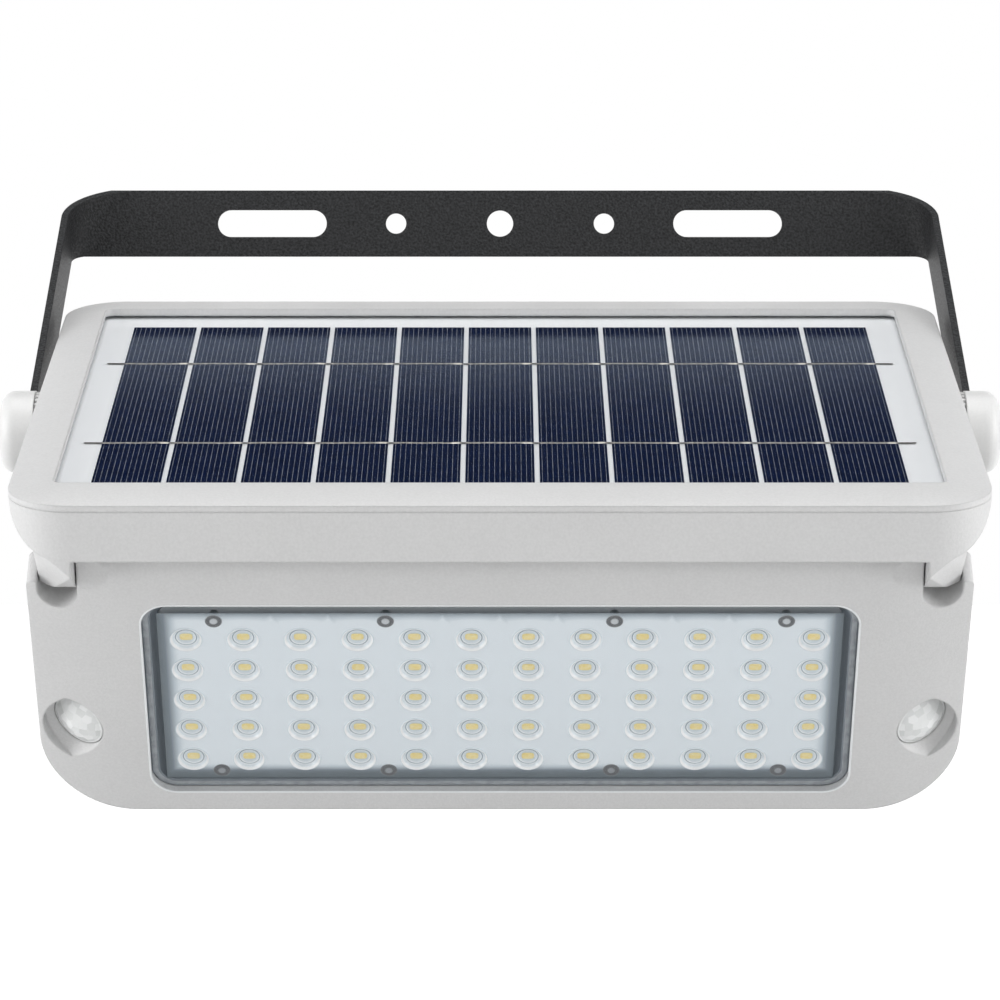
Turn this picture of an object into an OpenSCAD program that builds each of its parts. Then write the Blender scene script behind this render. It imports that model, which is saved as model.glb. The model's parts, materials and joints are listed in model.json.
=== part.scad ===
// Solar flood light on a wall bracket: a tilting solar head with its battery bay,
// and a lamp head that hinges in two ears under the front edge of the solar head.
// Millimetres, +Z up, +Y into the wall. The origin is the centre hole of the bracket on the wall face.

/* [Wall bracket] */
// Gap between the solar head's side and an arm
arm_gap = 3; // [2.5:0.1:6]
// Height of the flat strip on the wall
strip_h = 20; // [16:1:28]
// Thickness of the steel strip
strip_t = 2; // [1.5:0.1:3]
// Outer radius of the bends at the top edge of the strip
bend_top_r = 26; // [18:0.5:30]
// Outer radius of the bends at the bottom edge of the strip
bend_foot_r = 7.5; // [5:0.5:12]
// Distance from the wall to the tilt pivot
pivot_out = 114; // [105:1:140]
// Drop from the centre hole to the tilt pivot
pivot_drop = 64.8; // [55:0.1:80]
// Radius of the eye at the end of an arm
eye_r = 8.5; // [7:0.5:10]
// Diameter of the centre hole
centre_hole_d = 8; // [6:0.1:10]
// Diameter of the two small holes
small_hole_d = 6.2; // [4:0.1:8]
// Distance between the two small holes
small_hole_spacing = 63; // [40:1:80]
// Distance between the centres of the two slots
slot_spacing = 138; // [120:1:160]
// Full length of a slot
slot_l = 33; // [20:1:40]
// Width of a slot
slot_w = 8.2; // [6:0.1:10]

/* [Tilt pivot] */
// Diameter of a pivot cap
cap_d = 23; // [21:0.5:28]
// How far a cap stands out from the outer face of its arm
cap_stand = 7.6; // [7:0.1:12]
// Radius of the cap's soft edge
cap_round = 4.2; // [1:0.1:5]
// Diameter of a pivot bolt
bolt_d = 6; // [5:0.5:6]
// Width across the flats of the bolt head and nut
hex_flats = 10; // [9:0.5:11]
// Height of a bolt head
bolt_head_h = 4; // [3:0.5:5]
// Thickness of a pivot nut
nut_t = 5; // [4:0.5:6]
// Number of teeth on a toothed ring
tooth_count = 36; // [24:1:48]

/* [Solar head] */
// Tilt of the panel from level
panel_tilt = 17.3; // [0:0.1:30]
// Width of the solar head
head_w = 253; // [240:0.5:290]
// Length of the solar head along the panel
head_l = 201.8; // [195:0.2:215]
// Distance from the tilt pivot to the front wall
head_front = 121.3; // [115:0.1:130]
// Plan radius of the head's corners
head_corner_r = 17.2; // [16:0.1:24]
// Width of the bezel in front of the panel and behind it
bezel_w = 14.7; // [12:0.1:15.5]
// Width of the bezel beside the panel
bezel_side_w = 11.7; // [11:0.1:14]
// How far the bezel falls from its inner to its outer edge
bezel_crown = 1.75; // [0.5:0.05:2]
// Height of the bezel's upright edge
bezel_edge_h = 1.7; // [1:0.1:3]
// Height of the panel face above the tilt pivot
panel_above = 16; // [15:0.1:20]
// How deep the panel face lies below the bezel
panel_recess = 2; // [1:0.1:3]
// Height of the tray under the bezel
tray_h = 13.4; // [12:0.1:16]
// Radius of the tray's lower edges at the sides
tray_side_r = 15; // [8:0.5:15]
// Radius of the tray's lower edge at the back
tray_back_r = 10; // [4:0.5:12]
// Wall of the mouldings
wall = 2.5; // [2:0.1:3]

/* [Solar cells] */
// Number of cell strips
cell_count = 11; // [6:1:11]
// Length of a cell strip
cell_l = 156; // [120:1:160]
// Margin between the cells and the sides of the bezel
cell_margin = 9; // [6:0.1:12]
// Gap between cell strips
cell_gap = 1.35; // [0.5:0.05:1.5]
// How far the cells lie in front of the middle of the panel
cell_shift = 2; // [0:0.5:3]
// Distance between the two ribbons
ribbon_spacing = 78; // [50:1:80]
// Width of a ribbon
ribbon_w = 1.6; // [1:0.1:3]
// How far a ribbon runs past the outer cells
ribbon_past = 5; // [0:0.5:5]

/* [Battery bay] */
// How far the bay lies in from the sides of the tray
bay_in = 25.5; // [24:0.5:35]
// Distance from the tilt pivot to the front wall of the bay
bay_front = 14; // [13:0.5:16]
// Distance from the tilt pivot to the back wall of the bay
bay_back = 62; // [60:1:66]
// Depth of the bay below the tilt pivot
bay_drop = 24; // [22:0.5:30]
// Radius of the bay's upright corners
bay_corner_r = 8; // [4:1:12]
// Diameter of a battery cell
battery_d = 18.3; // [14:0.1:18.6]
// Length of a battery cell
battery_l = 65; // [50:0.5:70]
// Number of battery cells
battery_count = 3; // [1:1:3]
// Diameter of the mode button
button_d = 10; // [8:0.5:12]
// Travel of the mode button
button_travel = 1.2; // [0.6:0.1:1.6]

/* [Lamp head] */
// Tilt of the lamp face from upright, facing down
lamp_tilt = 43.1; // [17:0.1:60]
// How far the ends of the lamp head lie in from the solar head's sides
lamp_in = 4; // [3.5:0.1:8]
// Distance from the hinge axis to the bottom edge
lamp_l = 85.4; // [82:0.1:95]
// Radius of the barrel round the hinge axis
barrel_r = 8.5; // [8:0.1:9]
// Radius of the bottom corners
lamp_corner_r = 24; // [15:0.5:30]
// Width of the curved part at each end of the face
face_end_w = 28.5; // [22:0.5:29]
// Radius of the curved ends of the face
face_end_r = 110; // [80:1:200]
// Depth from the face to the joint between housing and back cover
front_depth = 14.5; // [13:0.1:16]
// Depth of the back cover
back_depth = 8; // [6:0.1:9]
// Distance from the tilt pivot to the hinge axis along the panel
hinge_front = 104.3; // [100:0.1:106]
// Drop from the tilt pivot to the hinge axis across the panel
hinge_drop = 3.3; // [3:0.1:5]
// Outer radius of a hinge ear
ear_r = 7.3; // [6:0.1:7.5]
// Thickness of a hinge ear
ear_t = 9.8; // [7:0.1:10]
// Distance from the end of the lamp head to the inner side of an ear
ear_from_end = 13; // [12:0.1:13.5]
// Diameter of a hinge pin
pin_d = 4; // [3:0.1:5]

/* [Lamp window and LEDs] */
// Distance from the end of the lamp head to the window
window_side = 29.2; // [28.5:0.1:34]
// Height of the window
window_h = 69.7; // [66:0.1:70]
// Corner radius of the window
window_r = 7; // [3:0.5:10]
// Distance from the hinge axis to the top of the window
window_top = 8.9; // [8.7:0.1:10]
// Thickness of the clear window
window_t = 2; // [1.5:0.1:2]
// Columns of LEDs
led_cols = 12; // [6:1:12]
// Rows of LEDs
led_rows = 5; // [2:1:5]
// Distance from the side of the window to the first column of LEDs
led_side = 11.35; // [8:0.05:13]
// Distance from the top of the window to the first row of LEDs
led_first = 14.6; // [13:0.1:16]
// Distance from the bottom of the window to the last row of LEDs
led_last = 10.3; // [9:0.1:12]
// Diameter of a lens cup at the sheet's surface
cup_d = 8.3; // [6:0.1:9]
// Thickness of the lens sheet
sheet_t = 2; // [1.8:0.1:2]
// Diameter of a motion sensor dome
dome_d = 14.4; // [12:0.1:15]
// Distance from the end of the lamp head to the middle of a dome
dome_from_end = 10.4; // [10:0.1:13]
// How far a dome is turned outwards
dome_turn = 31; // [20:1:34]
// Distance from the hinge axis to a dome
dome_down = 55.7; // [50:0.1:57]

/* [Fits] */
// Running clearance between pins and bores, per side
run_gap = 0.05; // [0.02:0.01:0.1]
// Clearance between pieces that move past each other
move_gap = 0.4; // [0.3:0.05:0.6]
// Clearance of a piece that drops into a pocket, per side
drop_gap = 0.15; // [0.1:0.05:0.3]

/* [Hidden] */
$fn = 64;

// Colours of the finishes
casing_grey = [0.80, 0.80, 0.79];
steel_dark = [0.20, 0.21, 0.22];
cell_navy = [0.10, 0.13, 0.24];
bright_metal = [0.72, 0.73, 0.75];

// Bracket
bracket_half = head_w / 2 + arm_gap + strip_t;
// The bends are cones: their radius grows up the strip, from a point below it
bend_rise = (bend_top_r - bend_foot_r) / strip_h;
bend_apex = strip_h / 2 - bend_top_r / bend_rise;
bend_axis_l = norm([bend_rise, bend_rise, 1]);
bend_half_angle = asin(bend_rise / bend_axis_l);
bend_proud = 0.05;
pivot_y = -pivot_out;
pivot_z = -pivot_drop;
// A size that reaches past anything it cuts
past = 300;

// Solar head, in its own frame: the pivot is the origin, +Y runs to the back, +Z out of the panel
head_half = head_w / 2;
head_mid_y = head_l / 2 - head_front;
bezel_top = panel_above + panel_recess;
bezel_foot = bezel_top - bezel_crown - bezel_edge_h;
tray_top = bezel_foot;
tray_foot = tray_top - tray_h;
floor_top = tray_foot + wall;
opening_w = head_w - 2 * bezel_side_w;
opening_l = head_l - 2 * bezel_w;
opening_r = 2.5;
// The panel sandwich, from its face down
seal_t = 0.3;
seal_in = 0.5;
cover_t = 0.4;
ribbon_t = 0.15;
cell_t = 0.25;
backsheet_t = 1.8;
panel_overlap = 4;
panel_w = opening_w + 2 * panel_overlap;
panel_l = opening_l + 2 * panel_overlap;
panel_r = opening_r + panel_overlap;
cover_top = panel_above - seal_t;
ribbon_top = cover_top - cover_t;
cell_top = ribbon_top - ribbon_t;
backsheet_top = cell_top - cell_t;
backsheet_foot = backsheet_top - backsheet_t;
cell_mid_y = head_mid_y - cell_shift;
cells_w = opening_w - 2 * cell_margin;
cell_w = (cells_w - (cell_count - 1) * cell_gap) / cell_count;

// Tilt pivot along X, outwards from the head's side
tooth_ring_t = arm_gap - 0.2;
tooth_w = 0.9;
tooth_h = 1.8;
tooth_ring_r = cap_d / 2 - 1.2;
hex_r = hex_flats / 2 / cos(30);
boss_r = cap_d / 2;
bolt_tip = head_half - 16;
nut_in = head_half - 12;
cap_end = bracket_half + cap_stand;

// Battery bay
bay_half = head_half - bay_in;
bay_w = 2 * bay_half;
bay_l = bay_front + bay_back;
bay_mid_y = (bay_back - bay_front) / 2;
bay_foot = -bay_drop;
lid_t = 2.5;
lid_seal_t = 0.8;
lid_top = bay_foot + lid_t;
lid_seal_top = lid_top + lid_seal_t;
lid_w = bay_w - 2 * wall - 2 * drop_gap;
lid_l = bay_l - 2 * wall - 2 * drop_gap;
lid_r = bay_corner_r - wall;
battery_gap = 0.6;
battery_pitch = battery_d + battery_gap;
battery_y = bay_mid_y;
battery_x = -38;
cradle_t = 1.6;
cradle_share = 0.55;
battery_z = lid_top + cradle_t + battery_d / 2;
board_w = 62;
board_l = 56;
board_t = 1.6;
standoff_in = 4;
standoff_d = 5;
standoff_x = board_w / 2 - standoff_in;
standoff_y = board_l / 2 - standoff_in;
board_x = 55;
chip_at = [-6, -4, 0];
chip_size = [8, 6, 1.6];
coil_at = [8, 6, 0];
coil_size = [10, 10, 4];
store_x = -20;
store_ys = [-18, -6];
store_h = 9;
store_d = 6.3;
plug_xs = [-18, -4, 10];
plug_y = 18;
plug_size = [8, 6, 6];
button_in = 31;
button_x = bay_half - button_in;
button_y = bay_mid_y;
button_proud = 1.8;
button_flange = 1.6;
button_flange_t = 1.2;
switch_h = 3.5;
switch_w = 6;
switch_tip_d = 3.4;
switch_tip_l = 1;
board_foot = lid_top + button_flange_t + button_travel + 0.1 + switch_h;
seal_w = 3;
post_d = 9;
post_h = 12;
cover_screw_in = 4;
cover_screw_x = lid_w / 2 - cover_screw_in;
cover_screw_y = lid_l / 2 - cover_screw_in;
cover_screw_l = 8;
screw_d = 3;
screw_head_d = 5.5;
screw_head_h = 2;
gland_d = 13;
gland_base_h = 2;
gland_nut_h = 3;
gland_tip_h = 1.5;
gland_tip_d = 10;
gland_floor = 0.8;
lead_d = 5;
gland_x = 30;
gland_y = -52;
tray_screw_from_end = 28;
tray_screw_x = head_half - tray_screw_from_end;
tray_screw_in = 5.3;
tray_screw_ys = [head_l - head_front - tray_screw_in, tray_screw_in - head_front];
tray_screw_seat = tray_foot + 4.5;
tray_screw_tip = bezel_foot + 2;
tray_post_d = 7;

// Lamp head, in its own frame: the hinge axis is the origin, -Y is out of the face, -Z is down the face
lamp_half = head_half - lamp_in;
face_flat_half = lamp_half - face_end_w;
ear_in = lamp_half - ear_from_end;
dome_x = lamp_half - dome_from_end;
window_w = 2 * (lamp_half - window_side);
face_y = -barrel_r;
joint_y = face_y + front_depth;
back_y = joint_y + back_depth;
lamp_foot = -lamp_l;
trough_r = barrel_r + move_gap + 0.4;
ear_out = ear_in + ear_t;
pin_in = ear_in - 8;
pin_out = ear_out - 1.5;
notch_down = 11.1;
ear_front_drop = 4.25;
ear_flat_back = 3.4;
ear_flat_up = 2.2;
ear_flat_share = 0.87;
scoop_r = 24;
scoop_in = 1.6;
scoop_out = 21;
scoop_up = 6.3;
end_drop = 3;
end_r = 2.2;
window_mid = -(window_top + window_h / 2);
window_front = face_y + 0.2;
window_back = window_front + window_t;
ledge = 1.2;
gasket_in = 2.5;
sheet_front = window_back + seal_t;
sheet_back = sheet_front + sheet_t;
led_t = 0.8;
phosphor_t = 0.15;
phosphor_edge = 0.3;
led_board_front = sheet_back + led_t + phosphor_t + 0.05;
led_board_t = 1.6;
led_board_back = led_board_front + led_board_t;
heat_plate_t = 2;
heat_plate_back = led_board_back + heat_plate_t;
sheet_edge = 4;
sheet_r = 3;
sheet_w = window_w - 2 * sheet_edge;
sheet_h = window_h - 2 * sheet_edge;
sheet_mid = window_mid - 1;
frame_w = window_w + 2 * ledge;
frame_h = window_h + 2 * ledge;
led_pitch_x = (window_w - 2 * led_side) / (led_cols - 1);
led_pitch_y = (window_h - led_first - led_last) / (led_rows - 1);
led_mid = window_top + led_first + (led_rows - 1) * led_pitch_y / 2;
led_size = [3.5, 2.8];
cup_depth = 1.2;
cup_sphere_r = (cup_d * cup_d / 4 + cup_depth * cup_depth) / (2 * cup_depth);
lens_screw_d = 2.2;
lens_screw_head_d = 4;
lens_screw_sunk = 0.4;
lens_screw_xs = [for (i = [-5, -2, 2, 5]) i * led_pitch_x];
lens_screw_drop = 28;
dome_seat = face_y + 4.5;
dome_flange = 0.5;
dome_wall = 1.1;
dome_bore_d = dome_d + 2 * dome_flange + 2 * drop_gap;
can_d = 8;
can_l = 4.5;
dome_skirt = 4;
dome_h = 2.6;
dome_sphere_r = (dome_d * dome_d / 4 + dome_h * dome_h) / (2 * dome_h);
pocket_r = 12;
pocket_in = 2.8;
pocket_deep = 14;
press_post_l = 9;
press_post_d = 8;
plate_post_x = 70;
plate_post_zs = [-24, -66];
back_top = -7.6;
back_lip = 1;
back_slope_end = -21;
back_foot_up = 14;
back_foot_lip = 2;
back_screw_x = 108;
back_screw_zs = [-22, -74];
back_screw_l = 8;
screw_seat = joint_y + wall;
lamp_gland_down = 52;

// Points on an arc about [cx, cy]
function arc(cx, cy, r, a0, a1, n) =
  [for (i = [0:n]) let (a = a0 + (a1 - a0) * i / n) [cx + r * cos(a), cy + r * sin(a)]];
// Angle from the pivot to a corner of the strip, and where an edge leaves the eye's circle
function lift(z) = atan2(z - pivot_z, -strip_t - pivot_y);
function reach(z) = norm([z - pivot_z, -strip_t - pivot_y]);
function leave(z, side) = let (a = lift(z) + side * (90 - asin(eye_r / reach(z))))
  [pivot_y + eye_r * cos(a), pivot_z + eye_r * sin(a)];

// A flat rectangle with round corners, centred
module round_rect(w, l, r) {
  square([w - 2 * r, l], center = true);
  square([w, l - 2 * r], center = true);
  for (sx = [-1, 1], sy = [-1, 1])
    translate([sx * (w / 2 - r), sy * (l / 2 - r)])
      circle(r);
}

// Carries a profile round a rounded rectangle; the profile's X runs outwards from the corner centres
module carried_round(w, l, r) {
  turns = [[1, 1, 0], [-1, 1, 90], [-1, -1, 180], [1, -1, 270]];
  for (t = turns) {
    translate([t[0] * (w / 2 - r), t[1] * (l / 2 - r), 0])
      rotate([0, 0, t[2]])
        rotate_extrude(angle = 90)
          children();
    side = t[2] % 180 == 0;
    rotate([0, 0, t[2]])
      translate([(side ? w : l) / 2 - r, 0, 0])
        rotate([90, 0, 0])
          linear_extrude((side ? l : w) - 2 * r, center = true)
            children();
  }
}

// Frames of the two tilting heads
module in_head() {
  translate([0, pivot_y, pivot_z])
    rotate([panel_tilt, 0, 0])
      children();
}

module in_lamp() {
  in_head()
    translate([0, -hinge_front, -hinge_drop])
      rotate([lamp_tilt - panel_tilt, 0, 0])
        children();
}

// Both sides of the light
module both_sides() {
  children();
  mirror([1, 0, 0])
    children();
}

// A rod along +X from x0 to x1
module rod(x0, x1, r, facets = $fn) {
  translate([x0, 0, 0])
    rotate([0, 90, 0])
      cylinder(h = x1 - x0, r = r, $fn = facets);
}

// A plate lying in the lamp's face, from depth y0 to y1
module face_plate(y0, y1, mid_z) {
  translate([0, y1, mid_z])
    rotate([90, 0, 0])
      linear_extrude(y1 - y0)
        children();
}

// Bracket

// The block between two arms and in front of the wall, moved in by inset, with its upright edges
// rounded by cones. A cone's axis leans the same way to both faces; it stands a hair proud of them.
module bent_block(inset) {
  half = bracket_half - inset;
  lean = acos(1 / bend_axis_l);
  difference() {
    translate([-half, -past / 2 - inset, -past / 2])
      cube([2 * half, past / 2, past]);
    both_sides()
      translate([half, -inset, bend_apex + inset / bend_rise])
        difference() {
          rotate([0, acos(bend_rise / norm([1, 1, bend_rise])), 45])
            translate([-past / 2, -past / 2, 0])
              cube([past, past, past]);
          translate([bend_proud, bend_proud, 0])
            rotate([0, lean, 225])
              cylinder(h = past, r1 = 0, r2 = past * tan(bend_half_angle));
        }
  }
}

// Side outline of an arm, in the Y-Z plane: from the strip down to the eye round the pivot
module arm_side() {
  top = strip_h / 2;
  polygon([[1, top], [-strip_t, top], leave(top, 1), [pivot_y, pivot_z], leave(-top, -1),
    [-strip_t, -top], [1, -top]]);
  translate([pivot_y, pivot_z])
    circle(eye_r);
}

module along_x(x0, x1) {
  translate([x0, 0, 0])
    rotate([90, 0, 90])
      linear_extrude(x1 - x0)
        children();
}

module slot_cut(x) {
  half = (slot_l - slot_w) / 2;
  for (s = [-1, 1])
    translate([x + s * half, 1, 0])
      rotate([90, 0, 0])
        cylinder(h = strip_t + 2, d = slot_w);
  translate([x - half, -strip_t - 1, -slot_w / 2])
    cube([2 * half, strip_t + 2, slot_w]);
}

module bracket() {
  color(steel_dark)
    difference() {
      intersection() {
        along_x(-past / 2, past / 2)
          arm_side();
        difference() {
          bent_block(0);
          bent_block(strip_t);
        }
      }
      rotate([90, 0, 0])
        cylinder(h = 3 * strip_t, d = centre_hole_d, center = true);
      for (s = [-1, 1]) {
        translate([s * small_hole_spacing / 2, 0, 0])
          rotate([90, 0, 0])
            cylinder(h = 3 * strip_t, d = small_hole_d, center = true);
        slot_cut(s * slot_spacing / 2);
      }
      translate([0, pivot_y, pivot_z])
        rod(-past / 2, past / 2, bolt_d / 2 + run_gap);
    }
}

module cap_profile() {
  r = cap_d / 2;
  cap_in = bracket_half - strip_t;
  polygon(concat([[0, cap_in], [r, cap_in]],
    arc(r - cap_round, cap_end - cap_round, cap_round, 0, 90, 8), [[0, cap_end]]));
}

module pivot_caps() {
  color("whitesmoke")
    both_sides()
      difference() {
        translate([0, pivot_y, pivot_z])
          rotate([0, 90, 0])
            rotate_extrude()
              cap_profile();
        along_x(bracket_half - strip_t - 1, bracket_half)
          arm_pocket();
        translate([0, pivot_y, pivot_z])
          rod(bracket_half - strip_t - 1, bracket_half + bolt_head_h + 2 * drop_gap, hex_r + drop_gap);
      }
}

// The pocket in a cap that the arm's end lies in
module arm_pocket() {
  reach_up = cap_d;
  translate([pivot_y, pivot_z])
    circle(eye_r + drop_gap);
  translate([pivot_y, pivot_z])
    rotate((lift(strip_h / 2) + lift(-strip_h / 2)) / 2)
      translate([0, -eye_r - drop_gap])
        square([reach_up, 2 * (eye_r + drop_gap)]);
}

module pivot_bolts() {
  color(bright_metal)
    both_sides()
      translate([0, pivot_y, pivot_z]) {
        rod(bolt_tip, bracket_half, bolt_d / 2);
        rod(bracket_half, bracket_half + bolt_head_h, hex_r, 6);
      }
}

module pivot_nuts() {
  color(bright_metal)
    both_sides()
      in_head()
        difference() {
          rod(nut_in, nut_in + nut_t, hex_r, 6);
          rod(nut_in - 1, nut_in + nut_t + 1, bolt_d / 2 + run_gap);
        }
}

module toothed_rings() {
  color("whitesmoke")
    both_sides()
      in_head()
        difference() {
          union() {
            rod(head_half, head_half + tooth_ring_t, tooth_ring_r);
            for (i = [0:tooth_count - 1])
              rotate([360 * i / tooth_count, 0, 0])
                translate([head_half, -tooth_w / 2, tooth_ring_r - tooth_h / 2])
                  cube([tooth_ring_t, tooth_w, tooth_h]);
          }
          rod(head_half - 1, head_half + tooth_ring_t + 1, bolt_d / 2 + run_gap);
        }
}

// Solar head

module bezel_profile() {
  r = head_corner_r;
  crown_r = (bezel_w * bezel_w + bezel_crown * bezel_crown) / (2 * bezel_crown);
  sweep = asin(bezel_w / crown_r);
  polygon(concat(arc(r - bezel_w, bezel_top - crown_r, crown_r, 90, 90 - sweep, 6),
    [[r, bezel_foot], [r - bezel_w, bezel_foot]]));
}

module bezel() {
  color(casing_grey)
    in_head()
      difference() {
        translate([0, head_mid_y, 0])
          carried_round(head_w, head_l, head_corner_r)
            bezel_profile();
        translate([0, head_mid_y, 0])
          linear_extrude(past)
            round_rect(opening_w, opening_l, opening_r);
        panel_plate(bezel_foot - 1, panel_above, -drop_gap);
        at_tray_screws()
          screw_bore(tray_foot - past, tray_screw_tip);
      }
}

module panel_plate(foot, top, shrink = 0) {
  translate([0, head_mid_y, foot])
    linear_extrude(top - foot)
      round_rect(panel_w - 2 * shrink, panel_l - 2 * shrink, panel_r - shrink);
}

module panel_cover() {
  color([0.75, 0.82, 0.9, 0.35])
    in_head()
      panel_plate(ribbon_top, cover_top);
}

module cell_row() {
  for (i = [0:cell_count - 1])
    translate([-cells_w / 2 + i * (cell_w + cell_gap), cell_mid_y - cell_l / 2, backsheet_top])
      cube([cell_w, cell_l, cell_t]);
}

module solar_cells() {
  color(cell_navy)
    in_head()
      cell_row();
}

module cell_ribbons() {
  ribbon_l = cells_w + 2 * ribbon_past;
  color(bright_metal)
    in_head()
      for (s = [-1, 1])
        translate([-ribbon_l / 2, cell_mid_y + s * ribbon_spacing / 2 - ribbon_w / 2, cell_top])
          cube([ribbon_l, ribbon_w, ribbon_t]);
}

module panel_backsheet() {
  color("white")
    in_head()
      panel_plate(backsheet_foot, backsheet_top);
}

module panel_seal() {
  color([0.15, 0.15, 0.16])
    in_head()
      difference() {
        panel_plate(cover_top, panel_above);
        translate([0, head_mid_y, cover_top - 1])
          linear_extrude(seal_t + 2)
            round_rect(opening_w + 2 * seal_in, opening_l + 2 * seal_in, opening_r + seal_in);
      }
}

// The outer form of the tray, shrunk by inset: round plan corners, wide round lower edges at the sides
module tray_form(inset) {
  foot = tray_foot + inset;
  side_r = tray_side_r - inset;
  back_r = tray_back_r - inset;
  half = head_half - inset;
  back = head_l - head_front - inset;
  intersection() {
    translate([0, head_mid_y, foot])
      linear_extrude(tray_top - foot + inset)
        round_rect(head_w - 2 * inset, head_l - 2 * inset, head_corner_r - inset);
    translate([0, past / 2, 0])
      rotate([90, 0, 0])
        linear_extrude(past) {
          translate([-half, foot + side_r])
            square([2 * half, past]);
          translate([-half + side_r, foot])
            square([2 * (half - side_r), past]);
          for (s = [-1, 1])
            translate([s * (half - side_r), foot + side_r])
              circle(side_r);
        }
    along_x(-past / 2, past / 2) {
      translate([-past, foot])
        square([past + back - back_r, past]);
      translate([-past, foot + back_r])
        square([past + back, past]);
      translate([back - back_r, foot + back_r])
        circle(back_r);
    }
  }
}

// The ledge inside the tray that the panel rests on
module panel_ledge() {
  intersection() {
    tray_form(wall / 2);
    translate([0, head_mid_y, backsheet_foot - wall])
      linear_extrude(wall)
        difference() {
          square([head_w, head_l], center = true);
          round_rect(opening_w - 2, opening_l - 2, opening_r);
        }
  }
}

module bay_outline(shrink = 0) {
  translate([0, bay_mid_y])
    round_rect(bay_w - 2 * shrink, bay_l - 2 * shrink, bay_corner_r - shrink);
}

// Side outline of a hinge ear: from the tray's front wall down to the circle round the pin
module ear_side() {
  from_front = head_front - hinge_front;
  front = [-from_front, tray_foot - ear_front_drop + hinge_drop];
  away = norm(front);
  touch = atan2(front[1], front[0]) + acos(ear_r / away);
  circle(ear_r);
  polygon([[0, 0], [ear_r * cos(touch), ear_r * sin(touch)], front, [-from_front, tray_side_r],
    [ear_r, tray_side_r], [ear_r, 0]]);
}

// Everything below a slanted flat under the ear, which meets the tray's rounded corner in a crease
module ear_flat() {
  outer = [ear_out, -head_front + ear_flat_back, tray_foot + ear_flat_up];
  inner = [ear_in, -head_front, tray_foot - ear_front_drop];
  foot = [(ear_in + ear_out) / 2, -hinge_front - ear_r / 2, -hinge_drop - ear_flat_share * ear_r];
  n = cross(inner - outer, foot - outer);
  translate(outer)
    rotate([0, acos(n[2] / norm(n)), atan2(n[1], n[0])])
      translate([-past / 2, -past / 2, 0])
        cube([past, past, past]);
}

module hinge_ear() {
  intersection() {
    difference() {
      translate([0, -hinge_front, -hinge_drop])
        along_x(ear_in, ear_out)
          ear_side();
      ear_flat();
    }
    translate([0, head_mid_y, tray_foot - past / 2])
      linear_extrude(past)
        round_rect(head_w, head_l, head_corner_r);
    union() {
      tray_form(wall / 2);
      translate([0, -hinge_front - past / 2, tray_foot + tray_side_r / 4 - past])
        cube([past, past, past]);
    }
  }
}

module tray_walls() {
  difference() {
    tray_form(0);
    tray_form(wall);
  }
  panel_ledge();
}

// The curved wall over the lamp's barrel, inside the tray
module trough_wall() {
  intersection() {
    translate([0, -hinge_front, -hinge_drop])
      rod(-ear_out, ear_out, trough_r + wall);
    tray_form(wall / 2);
  }
}

// Posts beside the panel that the screws of the bezel run through
module tray_posts() {
  intersection() {
    at_tray_screws()
      translate([0, 0, tray_foot])
        cylinder(h = tray_h, d = tray_post_d);
    tray_form(wall / 2);
  }
}

module tray() {
  color(casing_grey)
    in_head()
      difference() {
        union() {
          difference() {
            union() {
              tray_walls();
              trough_wall();
              translate([0, 0, bay_foot])
                linear_extrude(floor_top - bay_foot)
                  bay_outline();
              both_sides()
                rod(bay_half - wall, head_half, boss_r);
            }
            translate([0, -hinge_front, -hinge_drop])
              rod(-ear_in, ear_in, trough_r);
            translate([0, 0, bay_foot - 1])
              linear_extrude(past)
                bay_outline(wall);
          }
          bay_fittings();
          tray_posts();
          both_sides()
            hinge_ear();
        }
        both_sides() {
          rod(bolt_tip - 1, head_half + 1, bolt_d / 2 + run_gap);
          rod(bay_half - wall - 1, nut_in + nut_t, hex_r + drop_gap, 6);
          translate([0, -hinge_front, -hinge_drop])
            rod(ear_in - 1, pin_out + drop_gap, pin_d / 2 + run_gap);
        }
        at_cover_screws()
          translate([0, 0, lid_top])
            cylinder(h = cover_screw_l + wall, d = screw_d + 2 * run_gap);
        at_tray_screws()
          screw_bore(tray_screw_seat, tray_screw_tip);
      }
}

// Fastening posts and the ledge for the cover's seal, inside the battery bay
module bay_fittings() {
  translate([0, 0, lid_seal_top])
    linear_extrude(wall)
      difference() {
        bay_outline(wall / 2);
        bay_outline(wall + seal_w);
      }
  at_cover_screws()
    translate([0, 0, lid_seal_top])
      cylinder(h = post_h, d = post_d);
}

module at_cover_screws() {
  for (sx = [-1, 1], sy = [-1, 1])
    translate([sx * cover_screw_x, bay_mid_y + sy * cover_screw_y, 0])
      children();
}

module at_tray_screws() {
  for (sx = [-1, 0, 1], y = tray_screw_ys)
    translate([sx * tray_screw_x, y, 0])
      children();
}

// A pan-head screw standing on its head, with its point up
module screw_up(l) {
  cylinder(h = screw_head_h, d = screw_head_d);
  cylinder(h = screw_head_h + l, d = screw_d);
}

// The bore for a screw whose head rests at z = seat and whose point ends at z = tip
module screw_bore(seat, tip) {
  translate([0, 0, seat - past / 2])
    cylinder(h = past / 2 + screw_head_h, d = screw_head_d + 2 * drop_gap);
  translate([0, 0, seat])
    cylinder(h = tip - seat + drop_gap, d = screw_d + 2 * run_gap);
}

module tray_screws() {
  color(bright_metal)
    in_head()
      at_tray_screws()
        translate([0, 0, tray_screw_seat])
          screw_up(tray_screw_tip - tray_screw_seat - screw_head_h);
}

module battery_cells() {
  first = battery_y - (battery_count - 1) * battery_pitch / 2;
  color("royalblue")
    in_head()
      for (i = [0:battery_count - 1])
        translate([battery_x, first + i * battery_pitch, battery_z])
          rod(-battery_l / 2, battery_l / 2, battery_d / 2);
}

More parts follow.
